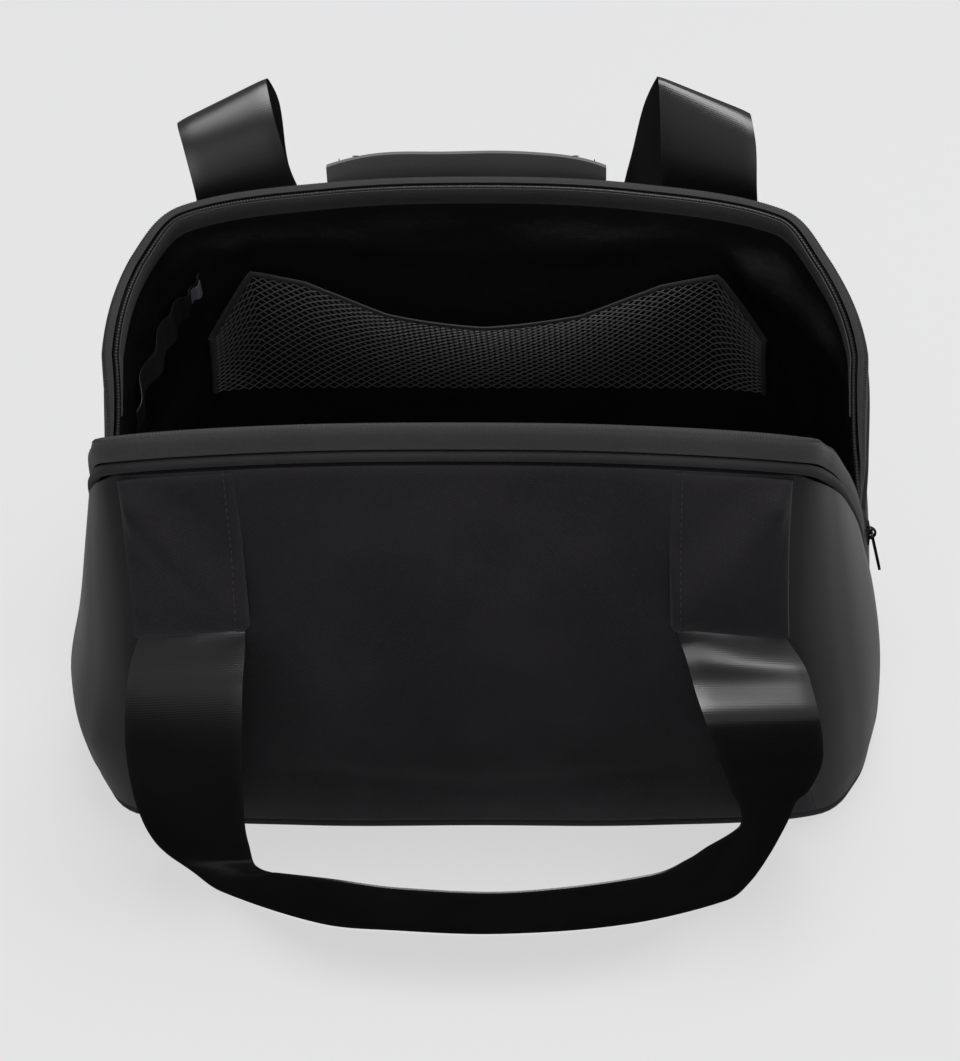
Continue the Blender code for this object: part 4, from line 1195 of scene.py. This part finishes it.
@dataclass(frozen=True)
class Interior:
    """Lining, mesh pocket and care label."""

    shop: Workshop
    cell_wide: float = 0.0027
    cell_high: float = 0.0022
    strand: float = 0.00036
    label_width: float = 0.013

    def drape(self, station: np.ndarray, share: np.ndarray) -> np.ndarray:
        """Return how far the lining hangs in from the wall, clear of the pocket."""
        surface, z = self.shop.surface, self.shop.sizes
        height = surface.plan(station, share)[..., 2]
        middle = np.minimum(station, WHOLE_TURN - station)
        hem = np.interp(middle, *zip(*POCKET_HEM)) * z.seam_height
        clear = np.where(middle > 11.7, ease((height - hem - 0.004) / 0.02), 1.0)
        top = ease((surface.plan(station, 1.0)[..., 2] - height - 0.004) / 0.014)
        low = ease((height - 0.02) / 0.03)
        ripple = 0.0013 * (1 + np.sin(station * 5.1 + height * 46) * np.sin(height * 71 - station * 1.7))
        fold = 0.19 - 0.0105 * (13.6 - station)
        swag = 0.0085 * hill(station - 11.9, 1.5) * hill(height - fold + 0.012, 0.013)
        crease = 0.0035 * hill(station - 15.2, 1.0) * hill(height - 0.176 - 0.004 * (station - 15), 0.008)
        return (ripple + swag + crease) * clear * top * low

    def lining(self) -> None:
        """Make the lining as one draped tub."""
        surface, z = self.shop.surface, self.shop.sizes
        stations = surface.spaced(0.0, WHOLE_TURN, 0.0045, 0.5)[:-1]
        station = stations[None, :]
        stacks = []
        for inward, floor in ((z.lining_out, z.floor), (z.lining_in, z.floor + z.lining)):
            foot = surface.point(stations, 0.0, np.full_like(stations, inward))
            rings = [np.column_stack((foot[:, :2] * share, np.full(len(foot), floor)))
                     for share in (0.04, 0.2, 0.4, 0.6, 0.8, 0.92, 1.0)]
            rows = np.linspace(0.12, z.wall_rows, 56)[:, None]
            share = surface.row(station, rows)
            clear = inward + z.lining_play * ease((rows - 4.5) / 1.5) + self.drape(station + 0 * share, share)
            walls = surface.point(station + 0 * share, share, clear)
            places, out, upward = surface.seam(stations)
            rise = upward * (z.lining_rise * surface.curl(stations))[:, None]
            rises = [places - out * (inward + z.lining_play) + rise * part for part in (0.4, 0.75, 1.0)]
            stacks.append(np.concatenate((np.array(rings), walls, np.array(rises))))
        mesh = ClothMesh()
        mesh.tub(*stacks)
        piece = mesh.piece("lining_drape", self.shop.materials["lining_cloth"])
        self.shop.keep(piece, "lining_cloth", "lining")

    def net(self) -> None:
        """Make the pocket's net, its hem and its side tapes."""
        surface = self.shop.surface
        ends = (BACK_SEAM, WHOLE_TURN - BACK_SEAM)
        fine = surface.spaced(*ends, self.cell_wide, 0.7)
        wide, high = len(fine) - 1, round(0.080 / self.cell_high)
        columns, rows = np.meshgrid(fine, np.linspace(0.0, 1.0, high + 1))
        places = surface.pocket(columns, rows, 0.0006)
        paths, facings = [], []
        steps = np.arange(high + 1)
        for start in range(-high, wide + high + 1, 2):
            for slope in (-1, 1):
                across = start + slope * steps
                inside = (across >= 0) & (across <= wide)
                if inside.sum() > 1:
                    path = places[steps[inside], across[inside]]
                    paths.append(path)
                    facings.append(np.tile((0.0, -1.0, 0.0), (len(path), 1)))
        net = self.shop.strands.grow("mesh_pocket_net", paths, facings, {"Strand Radius": self.strand},
                                     self.shop.materials["mesh"])
        self.shop.keep(net, "mesh", "mesh_pocket")
        mesh = ClothMesh(0.0008)
        level = np.linspace(0.0, 1.0, 30)
        routes = ((fine, np.ones_like(fine), 0.0016, 0.55), (fine, np.zeros_like(fine), 0.0022, 0.4),
                  (np.full_like(level, ends[0] + 0.01), level, 0.0018, 0.7),
                  (np.full_like(level, ends[1] - 0.01), level, 0.0018, 0.7))
        for station, share, radius, flat in routes:
            centres = surface.pocket(station, share, 0.0008)
            towards = surface.pocket(station, share - 0.05, 0.0008) - centres
            if share[0] != share[-1]:
                towards = surface.outward(station, share)
            out, upward = path_frame(centres, towards)
            mesh.tube(rings_round(centres, out, upward, radius, 10, flat))
        piece = mesh.piece("mesh_pocket_binding", self.shop.materials["tape_cloth"])
        self.shop.keep(piece, "mesh")

    def label(self) -> None:
        """Make the care label, a satin ribbon with a bare patch at its end."""
        surface, z = self.shop.surface, self.shop.sizes
        route = np.array(LABEL_ROUTE)
        line = np.linspace(0.0, 1.0, 60)
        station = np.interp(line, np.linspace(0, 1, len(route)), route[:, 0])[:, None]
        height = np.interp(line, np.linspace(0, 1, len(route)), route[:, 1])[:, None] * z.seam_height
        across = np.linspace(-0.5, 0.5, 13)[None, :]
        level = height + across * self.label_width * (1 - 0.15 * np.sin(line * 9))[:, None]
        drape = self.drape(station + 0 * level, surface.height(station, level))
        turn = line[:, None]
        lift = 0.0012 + 0.0030 * np.sin(turn * 15.0) ** 2 + 0.0022 * across * np.sin(turn * 7.0)
        inward = z.lining_in + 0.0012 + drape + lift
        rows = surface.point(station + 0 * level, surface.height(station, level), inward)
        mesh = ClothMesh(0.0010)
        mesh.shell(*ribbon_faces(rows, 0.0006))
        self.shop.keep(mesh.piece("care_label_ribbon", self.shop.materials["label_ribbon"]),
                       "label_ribbon", "care_label")
        normal = unit(np.cross(np.gradient(rows, axis=0), np.gradient(rows, axis=1)))
        middle = surface.outward(station + 0 * level, surface.height(station, level))
        normal *= -np.sign((normal * middle).sum(-1, keepdims=True))
        spot = (slice(3, 15), slice(2, 11))
        face = rows[spot] + normal[spot] * 0.0009
        mesh = ClothMesh(0.0010)
        mesh.shell(face, face - normal[spot] * 0.0004)
        piece = mesh.piece("care_label_bare_patch", self.shop.materials["label_blank"])
        self.shop.keep(piece, "label_ribbon")

    def make(self) -> None:
        """Make everything inside the bag."""
        self.lining()
        self.net()
        self.label()


@dataclass(frozen=True)
class Handles:
    """Webbing handles and the cloth patches that hold their ends."""

    shop: Workshop
    patch_first: float = 1.25
    patch: float = 0.0012
    segments: int = 7
    columns: int = 17
    bow: float = 0.013
    bow_rows: tuple[float, float] = (2.6, 20.4)
    bow_reach: float = 1.7
    stitch: RowShape = RowShape(0.0031, 0.0026, 0.00060, 0.00050)

    def lift(self, row: np.ndarray) -> np.ndarray:
        """Return how far a patch's inner face stands off the wall at the pattern's rows."""
        z = self.shop.sizes
        amount = np.interp(row, (3.9, 4.5, 5.0, 5.6, 6.0), (1.0, 1.0, 0.5, 0.15, 0.0))
        return 1.5 * z.gap + amount * (z.webbing + 2 * z.gap)

    def patch_piece(self, panel: str, name: str, side: int) -> None:
        """Make one patch with its pulled fold, its hem and its stitches."""
        surface = self.shop.surface
        back = panel == "back"
        rows = np.linspace(3.9, 5.97, 44)[:, None]
        across = np.linspace(0.0, 1.0, 34)[None, :]
        station = self.patch_first + (1.995 - self.patch_first) * across
        rows = rows - 0.10 * across * (6.0 - rows) / 2.1 + 0 * across
        lower = (rows - 3.9) / 2.07
        sheer = (lower - across) * 0.5
        ridge = 0.0052 * hill(sheer, 0.12) * ease(lower * 6 + 0.3) * ease((1 - lower) * 7)
        ridge = ridge - 0.0010 * hill(sheer - 0.20, 0.09) * ease(lower * 3) * ease((1 - lower) * 5)
        ridge = ridge * ease((across + 0.03) * 9) * ease((1.0 - across) * 8)
        hem = 0.0005 * hill((rows - 3.9) * 0.034, 0.004)
        pleat = 0.0016 * hill(across, 0.10) * hill(lower, 0.10)
        lift = self.lift(rows) + ridge + pleat
        edge = ease(across * 30) * ease((1 - across) * 40)
        outer_lift = (lift + self.patch + hem) * (0.35 + 0.65 * edge)
        station = station + 0 * rows
        if back:
            station = BACK_MIDDLE - station
        station = station * side
        share = surface.row(station, rows)
        outer = surface.point(station, share, -outer_lift)
        inner = surface.point(station, share, -np.minimum(lift, outer_lift - 0.0003))
        mesh = ClothMesh(0.0018)
        mesh.shell(outer, inner, (0.075, 0.137))
        piece = mesh.piece(f"{panel}_{name}_patch_cloth", self.shop.materials["panel_cloth"])
        self.shop.keep(piece, "panel_cloth", f"{panel}_{name}_patch")
        line = outer[:, 3] + surface.outward(station, share)[:, 3] * 0.0001
        facing = surface.outward(station, share)[:, 3]
        row = self.shop.row(f"{panel}_{name}_patch_stitches", [line], [facing], self.stitch, "thread")
        self.shop.keep(row, "panel_cloth")

    def tucked(self, side: int, back: bool) -> np.ndarray:
        """Return the webbing's rows of places under a patch, top row first, outer edge first."""
        surface, z = self.shop.surface, self.shop.sizes
        stations = np.array((1.285, 1.42, 1.60, 1.80, 1.957))
        if back:
            stations = BACK_MIDDLE - stations[::-1]
        stations = stations if side > 0 else -stations[::-1]
        if (side > 0) != back:
            stations = stations[::-1]
        lift = z.gap * 1.5 + z.webbing / 2
        return np.array([surface.point(stations, surface.row(stations, row), np.full(5, -lift))
                         for row in (4.40, 4.00, 3.80)])

    def handle(self, name: str, table: tuple, back: bool) -> None:
        """Make one webbing handle as one long strap."""
        z = self.shop.sizes
        scale = np.array((z.half_width, z.half_depth, z.webbing_width))
        pairs = np.array(table)
        outer, inner = pairs[:, :3] * scale, pairs[:, 3:] * scale
        if not back:
            number = np.arange(len(pairs))[:, None]
            bow = self.bow * sum(hill(number - row, self.bow_reach) for row in self.bow_rows)
            outer = outer + bow * np.array((0.0, -0.8, 0.6))
            inner = inner + bow * np.array((0.0, -0.64, 0.48))
        shares = np.linspace(0.0, 1.0, 5)[None, :, None]
        free = outer[:, None] * (1 - shares) + inner[:, None] * shares
        rows = np.concatenate((self.tucked(-1, back), free, self.tucked(1, back)[::-1]))
        rows = widened(smooth_rows(rows, self.segments), self.columns)
        mesh = ClothMesh(0.0011)
        mesh.shell(*ribbon_faces(rows, z.webbing))
        piece = mesh.piece(f"{name}_webbing", self.shop.materials["webbing"])
        self.shop.keep(piece, "webbing", name)

    def make(self) -> None:
        """Make the four patches and the two handles."""
        for panel in ("front", "back"):
            self.patch_piece(panel, "left", -1)
            self.patch_piece(panel, "right", 1)
        self.handle("front_handle", FRONT_HANDLE, False)
        self.handle("back_handle", BACK_HANDLE, True)


@dataclass(frozen=True)
class Sleeve:
    """The sleeve that bows out behind the back panel."""

    shop: Workshop
    half: float = 0.93
    shift: float = 0.11
    thickness: float = 0.002
    bow: float = 0.014
    bottom: float = 0.118
    top: float = 0.217
    stitch: RowShape = RowShape(0.0030, 0.0025, 0.00055, 0.00045)

    def make(self) -> None:
        """Make the sleeve with its hem, its stitches and its two bar tacks."""
        surface, z = self.shop.surface, self.shop.sizes
        across = np.linspace(-1.0, 1.0, 73)[None, :]
        rise = np.linspace(0.0, 1.0, 37)[:, None]
        level = self.bottom + (self.top - self.bottom) * rise + 0 * across
        station = BACK_MIDDLE + self.shift + across * self.half + 0 * level
        places = surface.point(station, np.minimum(1.0, surface.height(station, level)))
        bow = self.bow * (1 - across ** 4) * np.minimum(1.0, 0.45 + rise)
        wall = places[..., 1] + 3 * z.gap + z.piping * ease(4 * surface.height(station, level) - 3)
        ripple = 0.0006 * np.sin(across * 7 + rise * 3) * rise * (1 - across ** 2)
        inner = np.stack((places[..., 0], wall + bow + ripple, level), axis=-1)
        hem = 0.0007 * hill(rise - 1, 0.10) + 0.0004 * hill(np.abs(across) - 1, 0.04)
        outer = inner + np.stack((0 * hem, self.thickness + hem, 0 * hem), axis=-1)
        mesh = ClothMesh()
        mesh.shell(outer, inner)
        piece = mesh.piece("back_sleeve_cloth", self.shop.materials["sleeve_cloth"])
        self.shop.keep(piece, "gusset_cloth", "back_sleeve")
        back = np.array((0.0, 1.0, 0.0))
        paths = [outer[32, 3:-3] + back * 0.0001, outer[2:, 3] + back * 0.0001, outer[2:, -4] + back * 0.0001]
        row = self.shop.row("back_sleeve_stitches", paths, [np.tile(back, (len(p), 1)) for p in paths],
                            self.stitch, "thread")
        self.shop.keep(row, "gusset_cloth")
        tack = RowShape(0.0007, 0.0006, 0.0040, 0.0010)
        spots = [outer[29:37, k] + back * 0.0003 for k in (8, 65)]
        tacks = self.shop.row("back_sleeve_bar_tacks", spots, [np.tile(back, (8, 1))] * 2, tack, "thread")
        self.shop.keep(tacks, "gusset_cloth")


@dataclass(frozen=True)
class ZipPull:
    """The slider on the two coils and the tab that hangs from its bridge."""

    shop: Workshop
    height: float = 0.009
    width: float = 0.008
    plate: float = 0.0009
    play: float = 0.0012
    bridge_rise: float = 0.0034
    bar: float = 0.0012
    bridge_width: float = 0.0024
    tab_length: float = 0.021
    tab_width: float = 0.0056
    tab: float = 0.0013
    lean: float = math.radians(14.0)

    def block(self, data: bmesh.types.BMesh, low: tuple, high: tuple, radius: float) -> None:
        """Add a block with rounded edges to a mesh."""
        made = bmesh.ops.create_cube(data, size=1.0)["verts"]
        for vert in made:
            vert.co = [high[k] if vert.co[k] > 0 else low[k] for k in range(3)]
        edges = list({edge for vert in made for edge in vert.link_edges})
        bmesh.ops.bevel(data, geom=edges, offset=radius, segments=3, profile=0.6, affect="EDGES")

    def slider(self) -> None:
        """Make the slider's two plates, its post and its arched bridge."""
        coil = self.shop.surface.coil(np.array((self.shop.sizes.slider_station,)))[0]
        x, z = coil[0], coil[2]
        play = self.shop.sizes.coil + self.play
        outer, inner, face = x + play, x - play, x + play + self.plate
        half_y, half_z = self.width / 2, self.height / 2
        data = bmesh.new()
        self.block(data, (outer, -half_y, z - half_z), (face, half_y, z + half_z), 0.0004)
        self.block(data, (inner - self.plate, -half_y, z - half_z), (inner, half_y, z + half_z), 0.0004)
        post = z + half_z - 0.0018
        self.block(data, (inner - 0.0002, -0.0004, post), (outer + 0.0002, 0.0004, z + half_z), 0.0002)
        turns = np.linspace(-math.pi / 2, math.pi / 2, 25)
        reach, rise = self.bridge_rise - self.bar / 2, half_z - 0.0016
        start = face - 0.0003
        bend = start + (reach + 0.0003) * np.cos(turns)
        places = np.column_stack((bend, 0 * turns, z + rise * np.sin(turns)))
        out, upward = path_frame(places, np.tile((0.0, 1.0, 0.0), (25, 1)))
        rings = rings_round(places, out, upward, self.bridge_width / 2, 12, self.bar / self.bridge_width)
        loops = [[data.verts.new(p) for p in ring] for ring in rings.tolist()]
        for first, second in zip(loops, loops[1:]):
            for k in range(12):
                data.faces.new((first[k], first[k - 1], second[k - 1], second[k]))
        data.faces.new(loops[0])
        data.faces.new(loops[-1])
        bmesh.ops.recalc_face_normals(data, faces=data.faces)
        mesh = bpy.data.meshes.new("zip_slider_body")
        data.to_mesh(mesh)
        data.free()
        piece = shown("zip_slider_body", mesh, self.shop.materials["black_metal"], 35.0)
        self.shop.keep(piece, "black_metal", "zip_slider")

    def outline(self, low: tuple, high: tuple, radius: float) -> list:
        """Return the places of a rectangle with round corners."""
        places = []
        corners = ((high[0], high[1], 0), (low[0], high[1], 1), (low[0], low[1], 2), (high[0], low[1], 3))
        for x, y, turn in corners:
            cx = x - radius if x == high[0] else x + radius
            cy = y - radius if y == high[1] else y + radius
            angles = np.linspace(turn * math.pi / 2, (turn + 1) * math.pi / 2, 7)
            places += [(cx + radius * math.cos(a), cy + radius * math.sin(a)) for a in angles]
        return places

    def pull_tab(self) -> None:
        """Make the slotted tab, hanging through the bridge and leaning outwards."""
        edge = 0.0003
        half = self.tab_width / 2 - edge
        top, low = self.tab / 2 - edge, -self.tab_length + edge
        shoulder = -self.tab_length * 0.42
        curve = bpy.data.curves.new("pull_tab_outline", "CURVE")
        curve.dimensions = "2D"
        curve.fill_mode = "BOTH"
        curve.extrude = self.tab / 2 - edge
        curve.bevel_depth = edge
        curve.bevel_resolution = 2
        hole = 0.0014 + edge
        shapes = (
            self.outline((-half, low), (half, top), 0.0012),
            self.outline((-hole, shoulder), (hole, -self.tab / 2 - edge), 0.0006),
            self.outline((-hole, low + 0.0019), (hole, shoulder - self.tab - 2 * edge), 0.0010),
        )
        for shape in shapes:
            spline = curve.splines.new("POLY")
            spline.points.add(len(shape) - 1)
            spline.points.foreach_set("co", np.array([(*p, 0.0, 1.0) for p in shape]).ravel())
            spline.use_cyclic_u = True
        flat = bpy.data.objects.new("pull_tab_flat", curve)
        bpy.context.scene.collection.objects.link(flat)
        mesh = bpy.data.meshes.new_from_object(flat.evaluated_get(bpy.context.evaluated_depsgraph_get()))
        bpy.data.objects.remove(flat)
        coil = self.shop.surface.coil(np.array((self.shop.sizes.slider_station,)))[0]
        face = coil[0] + self.shop.sizes.coil + self.play + self.plate
        pivot = Vector((face + (self.bridge_rise - self.bar) / 2, 0.0, coil[2]))
        stand = Matrix(((0.0, 0.0, 1.0), (1.0, 0.0, 0.0), (0.0, 1.0, 0.0))).to_4x4()
        mesh.transform(Matrix.Translation(pivot) @ Matrix.Rotation(-self.lean, 4, "Y") @ stand)
        data = bmesh.new()
        data.from_mesh(mesh)
        bmesh.ops.remove_doubles(data, verts=data.verts, dist=0.00001)
        bmesh.ops.recalc_face_normals(data, faces=data.faces)
        data.to_mesh(mesh)
        data.free()
        piece = shown("pull_tab_metal", mesh, self.shop.materials["black_metal"], 35.0)
        self.shop.keep(piece, "black_metal", "pull_tab", body="tab")

    def make(self) -> None:
        """Make the slider and its tab."""
        self.slider()
        self.pull_tab()


@dataclass(frozen=True)
class Studio:
    """Pale floor, soft light and the camera."""

    camera_place: tuple[float, float, float] = (0.050, -0.843, 0.7145)
    camera_tilt: float = math.radians(53.4)
    lens: float = 76.95
    shift: float = -0.1037
    floor_half: float = 6.0
    floor_colour: tuple[float, float, float] = (0.200, 0.200, 0.202)
    floor_glow: float = 0.61
    sky: float = 0.26

    def camera(self) -> None:
        """Place the camera where the photograph was taken from."""
        data = bpy.data.cameras.new("camera")
        data.lens = self.lens
        data.shift_x = self.shift
        made = bpy.data.objects.new("camera", data)
        made.location = self.camera_place
        made.rotation_euler = (self.camera_tilt, 0.0, 0.0)
        bpy.context.scene.collection.objects.link(made)
        bpy.context.scene.camera = made

    def floor(self) -> None:
        """Lay the pale floor."""
        half = self.floor_half
        mesh = bpy.data.meshes.new("studio_floor")
        corners = [(-half, -half, 0.0), (half, -half, 0.0), (half, half, 0.0), (-half, half, 0.0)]
        mesh.from_pydata(corners, [], [(0, 1, 2, 3)])
        graph = Graph("studio_floor_paper")
        grain = graph.noise(0.004, 2.0)
        darker = tuple(value * 0.985 for value in self.floor_colour)
        material = graph.surface({
            "Base Color": graph.mix(grain, darker, self.floor_colour),
            "Roughness": 0.95,
            "Specular IOR Level": 0.1,
            "Emission Color": (1.0, 1.0, 1.012, 1.0),
            "Emission Strength": self.floor_glow,
        }, grain, 0.00001)
        floor = shown("studio_floor", mesh, material, 30.0)
        floor.visible_glossy = False

    def light(self, name: str, place: tuple, size: float, power: float, gloss: float) -> None:
        """Hang one soft light that points at the bag.

        Args:
            name: The light's name.
            place: Where it hangs.
            size: Length of its sides.
            power: Its power in watts.
            gloss: How strongly it shows in glossy surfaces.
        """
        data = bpy.data.lights.new(name, "AREA")
        data.shape = "SQUARE"
        data.size = size
        data.energy = power
        data.specular_factor = gloss
        made = bpy.data.objects.new(name, data)
        made.location = place
        aim = Vector((0.0, 0.0, 0.12)) - Vector(place)
        made.rotation_euler = aim.to_track_quat("-Z", "Y").to_euler()
        bpy.context.scene.collection.objects.link(made)

    def world(self) -> None:
        """Light the upper half of the world evenly and leave its lower half dark."""
        world = bpy.data.worlds.new("studio_sky")
        world.use_nodes = True
        tree = world.node_tree
        place = tree.nodes.new("ShaderNodeTexCoord")
        split = tree.nodes.new("ShaderNodeSeparateXYZ")
        level = tree.nodes.new("ShaderNodeMapRange")
        sky = tree.nodes["Background"]
        sky.inputs["Color"].default_value = (1.0, 1.0, 1.0, 1.0)
        for name, value in (("From Min", 0.0), ("From Max", 0.12), ("To Max", self.sky)):
            level.inputs[name].default_value = value
        tree.links.new(place.outputs["Generated"], split.inputs["Vector"])
        tree.links.new(split.outputs["Z"], level.inputs["Value"])
        tree.links.new(level.outputs["Result"], sky.inputs["Strength"])
        bpy.context.scene.world = world

    def make(self) -> None:
        """Set up the studio."""
        self.camera()
        self.floor()
        self.light("soft_key", (0.35, 0.35, 2.8), 1.7, 56.0, 1.0)
        self.light("soft_front", (0.1, -2.7, 1.20), 1.1, 7.0, 4.5)
        self.world()
        bpy.context.scene.view_settings.view_transform = "Standard"


def main() -> None:
    """Build the studio and every sub-assembly of the bag."""
    logging.basicConfig(level=logging.INFO, format="%(message)s")
    Studio().make()
    shop = Workshop(BagSizes(), Finishes())
    for assembly in (Walls, Mouth, Interior, Handles, Sleeve, ZipPull):
        LOG.info("making %s", assembly.__name__)
        assembly(shop).make()


if __name__ == "__main__":
    main()
